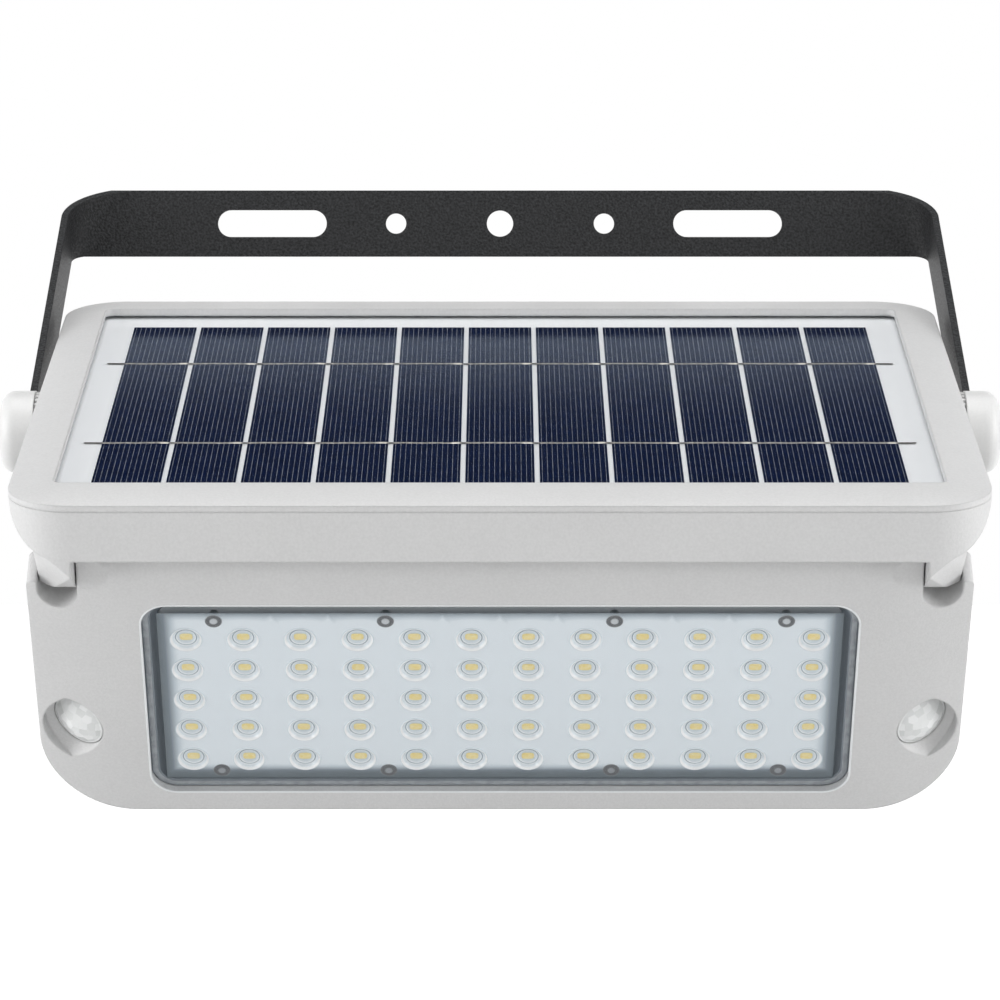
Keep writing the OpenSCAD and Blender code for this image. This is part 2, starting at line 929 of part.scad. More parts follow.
module battery_cradle() {
  cradle_l = battery_l + 2 * (cradle_t + drop_gap);
  cradle_w = battery_count * battery_pitch + 2 * cradle_t;
  cradle_h = cradle_t + battery_d * cradle_share;
  color([0.15, 0.15, 0.16])
    in_head()
      difference() {
        translate([battery_x - cradle_l / 2, battery_y - cradle_w / 2, lid_top])
          cube([cradle_l, cradle_w, cradle_h]);
        for (i = [0:battery_count - 1])
          translate([battery_x, battery_y + (i - (battery_count - 1) / 2) * battery_pitch, battery_z])
            rod(-battery_l / 2 - drop_gap, battery_l / 2 + drop_gap, battery_d / 2 + drop_gap);
      }
}

module control_board() {
  color([0.10, 0.35, 0.20])
    in_head()
      translate([board_x - board_w / 2, bay_mid_y - board_l / 2, board_foot])
        cube([board_w, board_l, board_t]);
}

// Charging chip, inductor, capacitors and the plug-in connectors
module board_parts() {
  color([0.12, 0.12, 0.13])
    in_head()
      translate([board_x, bay_mid_y, board_foot + board_t]) {
        translate(chip_at)
          cube(chip_size);
        translate(coil_at)
          cube(coil_size);
        for (y = store_ys)
          translate([store_x, y, 0])
            cylinder(h = store_h, d = store_d);
        for (x = plug_xs)
          translate([x, plug_y, 0])
            cube(plug_size);
      }
}

module mode_switch() {
  color([0.2, 0.2, 0.2])
    in_head()
      translate([button_x, button_y, board_foot - switch_h]) {
        translate([-switch_w / 2, -switch_w / 2, switch_tip_l])
          cube([switch_w, switch_w, switch_h - switch_tip_l]);
        cylinder(h = 1.5 * switch_tip_l, d = switch_tip_d);
      }
}

module battery_cover() {
  color(casing_grey)
    in_head()
      difference() {
        union() {
          translate([0, bay_mid_y, bay_foot])
            linear_extrude(lid_t)
              round_rect(lid_w, lid_l, lid_r);
          for (sx = [-1, 1], sy = [-1, 1])
            translate([board_x + sx * standoff_x, bay_mid_y + sy * standoff_y, lid_top])
              cylinder(h = board_foot - lid_top, d = standoff_d);
        }
        at_cover_screws()
          translate([0, 0, bay_foot - 1]) {
            cylinder(h = screw_head_h + 1, d = screw_head_d + 2 * drop_gap);
            cylinder(h = lid_t + 2, d = screw_d + 2 * drop_gap);
          }
        translate([button_x, button_y, bay_foot - 1])
          cylinder(h = lid_t + 2, d = button_d + 2 * move_gap);
      }
}

module cover_seal() {
  color([0.15, 0.15, 0.16])
    in_head()
      translate([0, 0, lid_top])
        linear_extrude(lid_seal_t)
          difference() {
            bay_outline(wall + drop_gap);
            bay_outline(wall + seal_w);
            for (sx = [-1, 1], sy = [-1, 1])
              translate([sx * cover_screw_x, bay_mid_y + sy * cover_screw_y])
                circle(screw_d / 2 + drop_gap);
          }
}

module cover_screws() {
  color(bright_metal)
    in_head()
      at_cover_screws()
        translate([0, 0, bay_foot])
          screw_up(cover_screw_l);
}

module mode_button() {
  color([0.25, 0.26, 0.27])
    in_head()
      translate([button_x, button_y, 0]) {
        translate([0, 0, bay_foot - button_proud])
          cylinder(h = button_proud + lid_t, d = button_d);
        translate([0, 0, lid_top])
          cylinder(h = button_flange_t, d = button_d + 2 * button_flange);
      }
}

// A dome-nut cable gland; the base lies at z = 0 and the nut points up
module gland() {
  difference() {
    union() {
      cylinder(h = gland_base_h, d = gland_d);
      translate([0, 0, gland_base_h])
        cylinder(h = gland_nut_h, d = gland_d - 1, $fn = 6);
      translate([0, 0, gland_base_h + gland_nut_h])
        cylinder(h = gland_tip_h, d1 = gland_tip_d, d2 = gland_tip_d - 2);
    }
    translate([0, 0, gland_floor])
      cylinder(h = past, d = lead_d);
  }
}

module tray_gland() {
  color([0.2, 0.2, 0.2])
    in_head()
      translate([gland_x, gland_y, tray_foot])
        rotate([180, 0, 0])
          gland();
}

// Lamp head

// Outline of the lamp's face, from the hinge axis down, with large bottom corners
module lamp_outline(shrink = 0, top = 0) {
  r = lamp_corner_r - shrink;
  half = lamp_half - shrink;
  foot = lamp_foot + shrink;
  translate([-half, foot + r])
    square([2 * half, top - foot - r]);
  translate([-half + r, foot])
    square([2 * (half - r), r + 1]);
  for (s = [-1, 1])
    translate([s * (half - r), foot + r])
      circle(r);
}

// Plan of the lamp: a flat face whose ends curve back
module lamp_plan() {
  difference() {
    translate([-past / 2, face_y])
      square([past, past]);
    for (s = [-1, 1])
      difference() {
        translate([s * (face_flat_half + past / 2), face_y + face_end_r / 2 - 1])
          square([past, face_end_r + 2], center = true);
        translate([s * face_flat_half, face_y + face_end_r])
          circle(face_end_r, $fn = 256);
        translate([-past, face_y + face_end_r / 4])
          square([2 * past, past]);
      }
  }
}

module lamp_shell() {
  intersection() {
    face_plate(face_y, joint_y, 0)
      lamp_outline();
    translate([0, 0, lamp_foot - 1])
      linear_extrude(past)
        lamp_plan();
  }
}

// Cut for one hinge ear: open to the top, with a round bottom
module ear_notch() {
  x0 = ear_in - move_gap;
  x1 = ear_out + move_gap;
  r = (x1 - x0) / 2;
  translate([0, past / 2, 0])
    rotate([90, 0, 0])
      linear_extrude(past)
        translate([x0 + r, r - notch_down]) {
          translate([-r, 0])
            square([2 * r, past]);
          circle(r);
        }
}

// Cut that keeps the outer end of the housing below the hinge, outside the ear
module end_cut() {
  x0 = ear_out + move_gap / 2;
  translate([0, past / 2, 0])
    rotate([90, 0, 0])
      linear_extrude(past) {
        translate([x0, -end_drop])
          square([past, past]);
        translate([lamp_half - end_r, -end_drop - end_r])
          difference() {
            square([past, past]);
            circle(end_r);
          }
      }
}

// A shallow round hollow in the face beside an ear
module ear_scoop() {
  translate([ear_in + scoop_in, face_y - scoop_out, scoop_up])
    sphere(r = scoop_r);
}

// Frame of a motion sensor: the dome's rim lies at z = 0, and the dome points along +Z
module at_sensor() {
  translate([dome_x, dome_seat, -dome_down])
    rotate([0, 0, dome_turn])
      rotate([90, 0, 0])
        children();
}

// Pocket for a motion sensor: a bore behind the dome, and a wide flare in front of it that stops
// short of the end of the lamp
module sensor_bore() {
  at_sensor()
    translate([0, 0, -past])
      cylinder(h = past, d = dome_bore_d);
  intersection() {
    at_sensor()
      cylinder(h = pocket_deep, d1 = dome_bore_d, d2 = dome_d + 2 * pocket_deep);
    translate([dome_x - pocket_in, past / 2, -dome_down])
      rotate([90, 0, 0])
        cylinder(h = past, r = pocket_r);
  }
}

module lamp_housing() {
  color(casing_grey)
    in_lamp()
      difference() {
        union() {
          lamp_shell();
          rod(-ear_in + move_gap, ear_in - move_gap, barrel_r);
        }
        face_plate(face_y - 1, past, window_mid)
          round_rect(window_w, window_h, window_r);
        face_plate(sheet_front, joint_y + 1, window_mid)
          round_rect(frame_w + 2 * drop_gap, frame_h + 2 * drop_gap, window_r + ledge);
        both_sides() {
          ear_notch();
          end_cut();
          ear_scoop();
          sensor_bore();
          rod(pin_in - drop_gap, ear_in, pin_d / 2 + run_gap);
        }
        at_back_screws()
          translate([0, joint_y + 1, 0])
            rotate([90, 0, 0])
              cylinder(h = back_screw_l + 1, d = screw_d + 2 * run_gap);
      }
}

module at_back_screws() {
  for (s = [-1, 1], z = back_screw_zs)
    translate([s * back_screw_x, 0, z])
      children();
}

// Side outline of the back cover: slopes away from the hinge, flat back, rounded foot
module back_side() {
  polygon([[joint_y, back_top], [joint_y + back_lip, back_top], [back_y, back_slope_end],
    [back_y, lamp_foot + back_foot_up], [joint_y + back_foot_lip, lamp_foot + 1], [joint_y, lamp_foot + 1]]);
}

// Posts inside the back cover that press on the heat plate and the sensor boards
module press_posts() {
  both_sides() {
    at_sensor()
      translate([0, 0, -dome_skirt - board_t - press_post_l])
        cylinder(h = press_post_l, d = press_post_d);
    for (z = plate_post_zs)
      translate([plate_post_x, heat_plate_back, z])
        rotate([-90, 0, 0])
          cylinder(h = joint_y + wall - heat_plate_back + 1, d = press_post_d);
  }
}

module lamp_back() {
  color(casing_grey)
    in_lamp() {
      difference() {
        intersection() {
          along_x(-past / 2, past / 2)
            back_side();
          face_plate(joint_y, back_y, 0)
            lamp_outline(0, back_top);
        }
        intersection() {
          along_x(-back_screw_x + post_d, back_screw_x - post_d)
            translate([-wall, 0])
              back_side();
          face_plate(joint_y - 1, back_y, 0)
            lamp_outline(2 * wall, back_top - 2 * wall);
        }
        at_back_screws() {
          rotate([-90, 0, 0])
            cylinder(h = past, d = screw_d + 2 * drop_gap);
          translate([0, screw_seat, 0])
            rotate([-90, 0, 0])
              cylinder(h = past, d = screw_head_d + 2 * drop_gap);
        }
      }
      press_posts();
    }
}

module back_screws() {
  color(bright_metal)
    in_lamp()
      at_back_screws()
        translate([0, screw_seat + screw_head_h, 0])
          rotate([90, 0, 0])
            screw_up(screw_seat - joint_y + back_screw_l - 1);
}

module hinge_pins() {
  color(bright_metal)
    in_lamp()
      both_sides()
        rod(pin_in, pin_out, pin_d / 2);
}

module lamp_window() {
  color([0.85, 0.88, 0.9, 0.4])
    in_lamp()
      face_plate(window_front, window_back, window_mid)
        round_rect(window_w - 2 * drop_gap, window_h - 2 * drop_gap, window_r - drop_gap);
}

module window_seal() {
  color([0.15, 0.15, 0.16])
    in_lamp()
      face_plate(window_back, sheet_front, window_mid)
        difference() {
          round_rect(window_w - 2 * seal_in, window_h - 2 * seal_in, window_r - seal_in);
          round_rect(window_w - 2 * gasket_in, window_h - 2 * gasket_in, window_r - gasket_in);
        }
}

module inner_frame() {
  color([0.33, 0.34, 0.35])
    in_lamp()
      difference() {
        face_plate(sheet_front, led_board_back, window_mid)
          round_rect(frame_w, frame_h, window_r + ledge - drop_gap);
        face_plate(sheet_front - 1, led_board_back + 1, sheet_mid)
          round_rect(sheet_w + 2 * drop_gap, sheet_h + 2 * drop_gap, sheet_r);
      }
}

module at_leds() {
  for (i = [0:led_cols - 1], j = [0:led_rows - 1])
    translate([(i - (led_cols - 1) / 2) * led_pitch_x, 0, -led_mid - (j - (led_rows - 1) / 2) * led_pitch_y])
      children();
}

module at_lens_screws() {
  for (x = lens_screw_xs, s = [-1, 1])
    translate([x, 0, sheet_mid + s * lens_screw_drop])
      children();
}

module lens_sheet() {
  color([0.86, 0.9, 0.95, 0.6])
    in_lamp()
      difference() {
        face_plate(sheet_front, sheet_back, sheet_mid)
          round_rect(sheet_w, sheet_h, sheet_r);
        at_leds()
          translate([0, sheet_front - cup_sphere_r + cup_depth, 0])
            sphere(r = cup_sphere_r);
        at_lens_screws()
          translate([0, sheet_back + 1, 0])
            rotate([90, 0, 0])
              cylinder(h = sheet_t + 2, d = lens_screw_head_d + 2 * drop_gap);
      }
}

module lens_screws() {
  color(bright_metal)
    in_lamp()
      at_lens_screws()
        translate([0, heat_plate_back, 0])
          rotate([90, 0, 0]) {
            cylinder(h = heat_plate_back - sheet_back, d = lens_screw_d);
            translate([0, 0, heat_plate_back - led_board_front])
              cylinder(h = led_board_front - sheet_front - lens_screw_sunk, d = lens_screw_head_d);
          }
}

module led_packages() {
  color("ivory")
    in_lamp()
      at_leds()
        translate([-led_size[0] / 2, led_board_front - led_t, -led_size[1] / 2])
          cube([led_size[0], led_t, led_size[1]]);
}

module led_phosphors() {
  color("gold")
    in_lamp()
      at_leds()
        translate([0, led_board_front - led_t, 0])
          rotate([90, 0, 0])
            cylinder(h = phosphor_t, d = led_size[1] - phosphor_edge, $fn = 24);
}

module screw_holes(d) {
  at_lens_screws()
    translate([0, past / 2, 0])
      rotate([90, 0, 0])
        cylinder(h = past, d = d);
}

module led_board() {
  color("white")
    in_lamp()
      difference() {
        face_plate(led_board_front, led_board_back, sheet_mid)
          round_rect(sheet_w, sheet_h, sheet_r);
        screw_holes(lens_screw_d + 2 * drop_gap);
      }
}

module heat_plate() {
  color(bright_metal)
    in_lamp()
      difference() {
        face_plate(led_board_back, heat_plate_back, window_mid)
          round_rect(frame_w, frame_h, window_r + ledge - drop_gap);
        screw_holes(lens_screw_d + 2 * run_gap);
      }
}

module sensor_domes() {
  color("whitesmoke")
    in_lamp()
      both_sides()
        at_sensor()
          difference() {
            union() {
              intersection() {
                translate([0, 0, dome_h - dome_sphere_r])
                  sphere(r = dome_sphere_r);
                cylinder(h = dome_d, d = dome_d + 1);
              }
              translate([0, 0, -dome_skirt])
                cylinder(h = dome_skirt, d = dome_d + 2 * dome_flange);
            }
            translate([0, 0, dome_h - dome_sphere_r])
              sphere(r = dome_sphere_r - dome_wall);
            translate([0, 0, -dome_skirt - 1])
              cylinder(h = dome_skirt + 1, d = dome_d - 2 * dome_wall);
          }
}

module sensor_cans() {
  color(bright_metal)
    in_lamp()
      both_sides()
        at_sensor()
          translate([0, 0, -dome_skirt])
            cylinder(h = can_l, d = can_d);
}

module sensor_boards() {
  color([0.10, 0.35, 0.20])
    in_lamp()
      both_sides()
        at_sensor()
          translate([0, 0, -dome_skirt - board_t])
            cylinder(h = board_t, d = dome_d + 2 * dome_flange);
}

module lamp_gland() {
  color([0.2, 0.2, 0.2])
    in_lamp()
      translate([-gland_x, back_y, -lamp_gland_down])
        rotate([-90, 0, 0])
          gland();
}

bracket();
pivot_caps();
pivot_bolts();
pivot_nuts();
toothed_rings();
bezel();
panel_cover();
solar_cells();
cell_ribbons();
panel_backsheet();
panel_seal();
tray();
tray_screws();
battery_cells();
battery_cradle();
control_board();
board_parts();
mode_switch();
battery_cover();
cover_seal();
cover_screws();
mode_button();
tray_gland();
lamp_housing();
lamp_back();
back_screws();
hinge_pins();
lamp_window();
window_seal();
inner_frame();
lens_sheet();
lens_screws();
led_packages();
led_phosphors();
led_board();
heat_plate();
sensor_domes();
sensor_cans();
sensor_boards();
lamp_gland();
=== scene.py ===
"""Solar flood light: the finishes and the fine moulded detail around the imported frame.

Lengths are metres in the frame's own axes: +Z up, +Y into the wall, the origin on the bracket's
centre hole. MM turns the millimetres that the maker's sizes are given in into metres.
"""

import json
import math

import bmesh
import bpy
import numpy as np
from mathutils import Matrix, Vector


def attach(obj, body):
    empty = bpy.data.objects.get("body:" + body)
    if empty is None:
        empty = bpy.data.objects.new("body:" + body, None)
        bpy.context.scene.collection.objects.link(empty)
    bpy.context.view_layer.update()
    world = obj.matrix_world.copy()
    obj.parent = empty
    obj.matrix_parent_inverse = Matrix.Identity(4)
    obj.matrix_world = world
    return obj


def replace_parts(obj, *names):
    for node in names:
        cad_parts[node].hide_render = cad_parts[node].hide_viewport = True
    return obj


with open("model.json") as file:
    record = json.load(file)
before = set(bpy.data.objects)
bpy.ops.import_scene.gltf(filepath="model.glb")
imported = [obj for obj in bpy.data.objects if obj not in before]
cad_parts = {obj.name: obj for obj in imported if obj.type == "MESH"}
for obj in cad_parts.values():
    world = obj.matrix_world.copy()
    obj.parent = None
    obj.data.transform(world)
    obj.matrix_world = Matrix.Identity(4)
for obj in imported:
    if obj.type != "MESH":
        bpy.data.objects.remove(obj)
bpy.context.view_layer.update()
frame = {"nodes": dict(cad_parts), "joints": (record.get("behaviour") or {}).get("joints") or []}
nodes = frame["nodes"]
MM = 0.001

# Frames of the two tilting heads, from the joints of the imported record
joints = {joint["name"]: joint for joint in frame["joints"]}
head_origin = np.array(joints["head_tilt"]["pos_m"])
lamp_origin = np.array(joints["lamp_tilt"]["pos_m"])
panel_normal = np.array(joints["button_press"]["axis"])
panel_tilt = math.atan2(-panel_normal[1], panel_normal[2])
lamp_tilt = math.radians(43.1)


# Camera of the photograph: level, square on, well back
CAMERA_PLACE = (0.0, -1.433, -0.0838)
CAMERA_LENS = 170.0
CAMERA_SENSOR = 36.0


def add_camera():
    data = bpy.data.cameras.new("camera")
    data.sensor_width = CAMERA_SENSOR
    data.lens = CAMERA_LENS
    data.clip_start = 0.05
    data.clip_end = 50.0
    camera = bpy.data.objects.new("camera", data)
    camera.location = CAMERA_PLACE
    camera.rotation_euler = (math.pi / 2, 0.0, 0.0)
    bpy.context.scene.collection.objects.link(camera)
    bpy.context.scene.camera = camera


# Surfaces


def turned(points, angle, origin):
    """Points turned about X by angle, then moved to origin: the way a head's own frame lies in the part."""
    c, s = math.cos(angle), math.sin(angle)
    x, y, z = np.moveaxis(np.asarray(points, float), -1, 0)
    return np.stack([x, c * y - s * z, s * y + c * z], axis=-1) + origin


def in_head(points):
    """From the solar head's frame, in millimetres, to the part's."""
    return turned(np.asarray(points) * MM, panel_tilt, head_origin)


def in_lamp(points):
    """From the lamp head's frame, in millimetres, to the part's."""
    return turned(np.asarray(points) * MM, lamp_tilt, lamp_origin)


def grid_faces(rows, columns, wrap_rows=False, wrap_columns=False):
    """Quads over a grid of rows times columns points, closed on itself along the wrapped ways."""
    i, j = np.meshgrid(np.arange(rows if wrap_rows else rows - 1),
                       np.arange(columns if wrap_columns else columns - 1), indexing="ij")
    i, j = i.ravel(), j.ravel()
    i1, j1 = (i + 1) % rows, (j + 1) % columns
    return np.stack([i * columns + j, i * columns + j1, i1 * columns + j1, i1 * columns + j], axis=1)


def mesh_piece(name, points, faces, body, finish):
    """One smooth piece from an array of points and an array of quads, riding on a body."""
    mesh = bpy.data.meshes.new(name)
    mesh.from_pydata(np.asarray(points, float).reshape(-1, 3).tolist(), [], np.asarray(faces).tolist())
    mesh.validate()
    mesh.polygons.foreach_set("use_smooth", np.full(len(mesh.polygons), True))
    mesh.update()
    piece = bpy.data.objects.new(name, mesh)
    bpy.context.scene.collection.objects.link(piece)
    mesh.materials.append(finish)
    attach(piece, body)
    return piece


TOUCHING = 0.000002


def closed(piece):
    """Points that fall together, at poles and where grids meet, become one."""
    work = bmesh.new()
    work.from_mesh(piece.data)
    bmesh.ops.remove_doubles(work, verts=work.verts, dist=TOUCHING)
    work.to_mesh(piece.data)
    work.free()
    return piece


def carry(piece, name, values):
    """One number per point of the piece's mesh, for its finish to read."""
    layer = piece.data.attributes.new(name, "FLOAT", "POINT")
    layer.data.foreach_set("value", np.ascontiguousarray(values, np.float32).ravel())


# Finishes


class Finish:
    """A node material in the making: the shader's plain settings, and helpers for what varies over it."""

    def __init__(self, name, colour, roughness, **settings):
        self.material = bpy.data.materials.new(name)
        self.material.use_nodes = True
        self.tree = self.material.node_tree
        self.shader = self.tree.nodes["Principled BSDF"]
        self.set(self.shader, **{"Base Color": (*colour, 1.0), "Roughness": roughness})
        self.set(self.shader, **{key.replace("_", " "): value for key, value in settings.items()})
        self.place = self.add("ShaderNodeTexCoord").outputs["Object"]

    def add(self, kind, **settings):
        node = self.tree.nodes.new(kind)
        for key, value in settings.items():
            setattr(node, key, value)
        return node

    def set(self, node, **values):
        for key, value in values.items():
            node.inputs[key].default_value = value
        return node

    def link(self, source, target):
        self.tree.links.new(source, target)

    def noise(self, size, detail=3.0, stretch=None):
        """Noise whose features are about size across, in metres, stretched by a factor per axis."""
        node = self.set(self.add("ShaderNodeTexNoise"), Scale=1.0 / size, Detail=detail)
        source = self.place
        if stretch:
            mapping = self.set(self.add("ShaderNodeMapping"), Scale=stretch)
            self.link(source, mapping.inputs["Vector"])
            source = mapping.outputs["Vector"]
        self.link(source, node.inputs["Vector"])
        return node.outputs["Fac"]

    def spread(self, source, low, high, start=0.3, end=0.7):
        """A value or colour from low to high as source goes from start to end."""
        ramp = self.add("ShaderNodeValToRGB")
        for element, place, tone in zip(ramp.color_ramp.elements, (start, end), (low, high)):
            element.position = place
            element.color = (*tone, 1.0) if hasattr(tone, "__len__") else (tone, tone, tone, 1.0)
        self.link(source, ramp.inputs["Fac"])
        return ramp.outputs["Color"]

    def shades(self, source, stops):
        """A colour that runs through several stops, each a place from 0 to 1 and its colour."""
        ramp = self.add("ShaderNodeValToRGB")
        for place, tone in stops[1:-1]:
            ramp.color_ramp.elements.new(place)
        for element, (place, tone) in zip(ramp.color_ramp.elements, stops):
            element.position = place
            element.color = (*tone, 1.0)
        self.link(source, ramp.inputs["Fac"])
        return ramp.outputs["Color"]

    def mix(self, share, first, second):
        """A colour between first and second by share, each of them a socket or a plain value."""
        node = self.add("ShaderNodeMix", data_type="RGBA")
        sockets = (node.inputs["Factor"], node.inputs[6], node.inputs[7])
        for socket, source in zip(sockets, (share, first, second)):
            if isinstance(source, bpy.types.NodeSocket):
                self.link(source, socket)
            else:
                socket.default_value = source
        return node.outputs[2]

    def bump(self, source, height):
        """A bump of the given height in metres."""
        node = self.set(self.add("ShaderNodeBump"), Strength=1.0, Distance=height)
        self.link(source, node.inputs["Height"])
        last = self.shader.inputs["Normal"]
        if last.is_linked:
            self.link(last.links[0].from_socket, node.inputs["Normal"])
        self.link(node.outputs["Normal"], last)

    def vary(self, socket, source):
        self.link(source, self.shader.inputs[socket])

    def soften(self, radius):
        """Edges shade as if rounded to this radius, as a moulded or coated edge is."""
        node = self.set(self.add("ShaderNodeBevel", samples=6), Radius=radius)
        self.link(node.outputs["Normal"], self.shader.inputs["Normal"])

    def carried(self, name):
        """A value that the piece's own mesh carries at each point."""
        return self.add("ShaderNodeAttribute", attribute_name=name).outputs["Fac"]


def moulded(name, colour, roughness=0.42, grain=0.00045, depth=0.00003, change=0.03, edge=0.0):
    """Moulded plastic with a spark-eroded grain: fine bumps and specks, and a slow drift of tone."""
    finish = Finish(name, colour, roughness)
    if edge:
        finish.soften(edge)
    dark = tuple(c * (1 - change) for c in colour)
    pale = tuple(min(c * (1 + change), 1.0) for c in colour)
    drift = finish.spread(finish.noise(0.03), dark, colour)
    specks = finish.spread(finish.noise(1.6 * grain, detail=1.0), dark, pale)
    finish.vary("Base Color", finish.mix(0.5, drift, specks))
    finish.vary("Roughness", finish.spread(finish.noise(0.004), roughness - 0.05, roughness + 0.06))
    finish.bump(finish.noise(grain, detail=2.0), depth)
    return finish.material


def powder_coat(name, colour):
    """Baked powder: a pebbled skin, slightly glossier on the tops of the pebbles, painted dark in the hollows
    as shade and light on the tops.
    """
    finish = Finish(name, colour, 0.45, Specular_IOR_Level=0.22)
    finish.soften(0.0005)
    pebbles = finish.noise(0.0007, detail=2.0)
    # painted shade and light: the pebbles' hollows painted darker and their tops lighter, as light falling on
    # them would show
    shaded_hollow, top = tuple(c * 0.3 for c in colour), tuple(c * 1.75 for c in colour)
    finish.vary("Base Color", finish.spread(pebbles, shaded_hollow, top))
    finish.vary("Roughness", finish.spread(pebbles, 0.55, 0.38))
    finish.bump(pebbles, 0.0003)
    return finish.material


def metal(name, colour, roughness):
    """Plated metal with fine drawn lines along X and a little cloudiness."""
    finish = Finish(name, colour, roughness, Metallic=1.0)
    lines = finish.noise(0.0006, stretch=(0.05, 1.0, 1.0))
    finish.vary("Roughness", finish.spread(lines, roughness - 0.06, roughness + 0.1))
    finish.bump(lines, 0.000008)
    return finish.material


def soft(name, colour, roughness=0.7):
    """Rubber and seals: dull, with a dusty mottle."""
    finish = Finish(name, colour, roughness)
    mottle = finish.noise(0.002)
    finish.vary("Base Color", finish.spread(mottle, colour, tuple(c * 1.5 + 0.004 for c in colour)))
    finish.bump(finish.noise(0.0005), 0.00002)
    return finish.material


def clear(name, tint, roughness, see_through, index=1.45):
    """Clear plastic seen at its surface: light passes straight through, with the gloss of its skin on top."""
    finish = Finish(name, tint, roughness, IOR=index)
    finish.set(finish.shader, Alpha=1.0 - see_through)
    finish.bump(finish.noise(0.012), 0.00001)
    return finish.material


CELLS_WIDTH = 211.6 * MM
CELL_COUNT = 11
CELL_GAP = 1.35 * MM
CELL_WIDTH = (CELLS_WIDTH - (CELL_COUNT - 1) * CELL_GAP) / CELL_COUNT
FINGERS = 13


def silicon():
    """Dark navy wafer with pale printed fingers: FINGERS thin lines across each cell, evenly apart and
    fainter in places."""
    finish = Finish("silicon", (0.0016, 0.0068, 0.034), 0.07, Specular_IOR_Level=0.05)
    split = finish.add("ShaderNodeSeparateXYZ")
    finish.link(finish.place, split.inputs["Vector"])

    def reckon(operation, source, value=0.0):
        node = finish.add("ShaderNodeMath", operation=operation)
        finish.link(source, node.inputs[0])
        node.inputs[1].default_value = value
        return node.outputs[0]

    across = reckon("MODULO", reckon("ADD", split.outputs["X"], CELLS_WIDTH / 2), CELL_WIDTH + CELL_GAP)
    pitch = reckon("FRACT", reckon("MULTIPLY", across, FINGERS / CELL_WIDTH))
    off_line = reckon("ABSOLUTE", reckon("SUBTRACT", pitch, 0.5))
    line = finish.spread(off_line, 1.0, 0.0, 0.035, 0.065)
    wear = finish.spread(finish.noise(0.0016, detail=1.0, stretch=(0.3, 1.0, 1.0)), 0.45, 1.0, 0.4, 0.6)
    worn = finish.add("ShaderNodeMath", operation="MULTIPLY")
    finish.link(line, worn.inputs[0])
    finish.link(wear, worn.inputs[1])
    wafer = finish.spread(finish.noise(0.004), (0.0010, 0.0050, 0.026), (0.0021, 0.0085, 0.041))
    finish.vary("Base Color", finish.mix(worn.outputs[0], wafer, (0.27, 0.29, 0.32, 1.0)))
    return finish.material


def ribbon_metal():
    """Tinned copper under solder: dull and lumpy, brighter where the piece carries a thick blob of solder."""
    finish = Finish("tinned_ribbon", (0.42, 0.41, 0.37), 0.42, Metallic=0.9)
    dull, bright = (0.12, 0.115, 0.105), (0.88, 0.84, 0.76)
    finish.vary("Base Color", finish.spread(finish.carried("solder"), dull, bright, 0.05, 1.0))
    finish.vary("Roughness", finish.spread(finish.noise(0.001), 0.3, 0.55))
    finish.bump(finish.noise(0.0006), 0.00004)
    return finish.material


def frosted_sheet():
    """Pale frosted lens sheet. Its tone follows what the piece carries: painted shade where the sheet meets
    its frame, pale inside, and in each cup painted highlights on white walls, painted dark thin rings and a
    blue-grey floor."""
    finish = Finish("lens_frosted", (0.62, 0.68, 0.73), 0.35)
    # painted shade: the sheet is painted dark along its edges, where the frame shades it, and pale inside
    sheet = finish.shades(finish.carried("inside"), [
        (0.0, (0.105, 0.13, 0.145)), (0.35, (0.18, 0.215, 0.245)),
        (0.7, (0.57, 0.64, 0.69)), (1.0, (0.84, 0.90, 0.94))])
    # painted highlights: cup walls and rims painted white, and thin rings painted dark as refraction draws
    # them
    cup = finish.shades(finish.carried("ring"), [
        (0.0, (0.26, 0.33, 0.38)), (0.4, (0.58, 0.66, 0.71)),
        (0.7, (0.84, 0.90, 0.94)), (1.0, (0.97, 0.975, 0.98))])
    finish.vary("Base Color", finish.mix(finish.carried("cup"), sheet, cup))
    finish.vary("Roughness", finish.spread(finish.carried("cup"), 0.45, 0.14, 0.0, 1.0))
    finish.bump(finish.noise(0.0008), 0.00001)
    return finish.material


def milky_lens():
    """Milky moulded lens. Each facet's tone is painted light: a little brighter or darker, as its refraction
    would show.
    """
    finish = Finish("dome_white", (0.72, 0.73, 0.725), 0.16)
    grey, white = (0.65, 0.665, 0.66), (0.81, 0.82, 0.82)
    finish.vary("Base Color", finish.spread(finish.carried("facet_light"), grey, white, 0.0, 1.0))
    finish.vary("Roughness", finish.spread(finish.noise(0.002), 0.13, 0.22))
    finish.bump(finish.noise(0.0006), 0.000004)
    return finish.material


def stake_plastic():
    """Heads of the lens sheet's screws: pale in the middle, with painted shade in the recess round them that
    fades into the sheet.
    """
    finish = Finish("stake_grey", (0.3, 0.31, 0.32), 0.4)
    finish.vary("Base Color", finish.shades(finish.carried("pale"), [
        (0.0, (0.09, 0.092, 0.095)), (0.35, (0.14, 0.145, 0.15)),
        (0.7, (0.36, 0.38, 0.40)), (1.0, (0.58, 0.61, 0.63))]))
    finish.bump(finish.noise(0.0005), 0.00001)
    return finish.material


def phosphor():
    """Phosphor in clear silicone: yellow, paler where the silicone is thick."""
    finish = Finish("phosphor", (0.98, 0.82, 0.36), 0.3)
    finish.vary("Base Color", finish.spread(finish.noise(0.0012), (0.97, 0.78, 0.28), (1.0, 0.87, 0.46)))
    finish.bump(finish.noise(0.0003), 0.00002)
    return finish.material


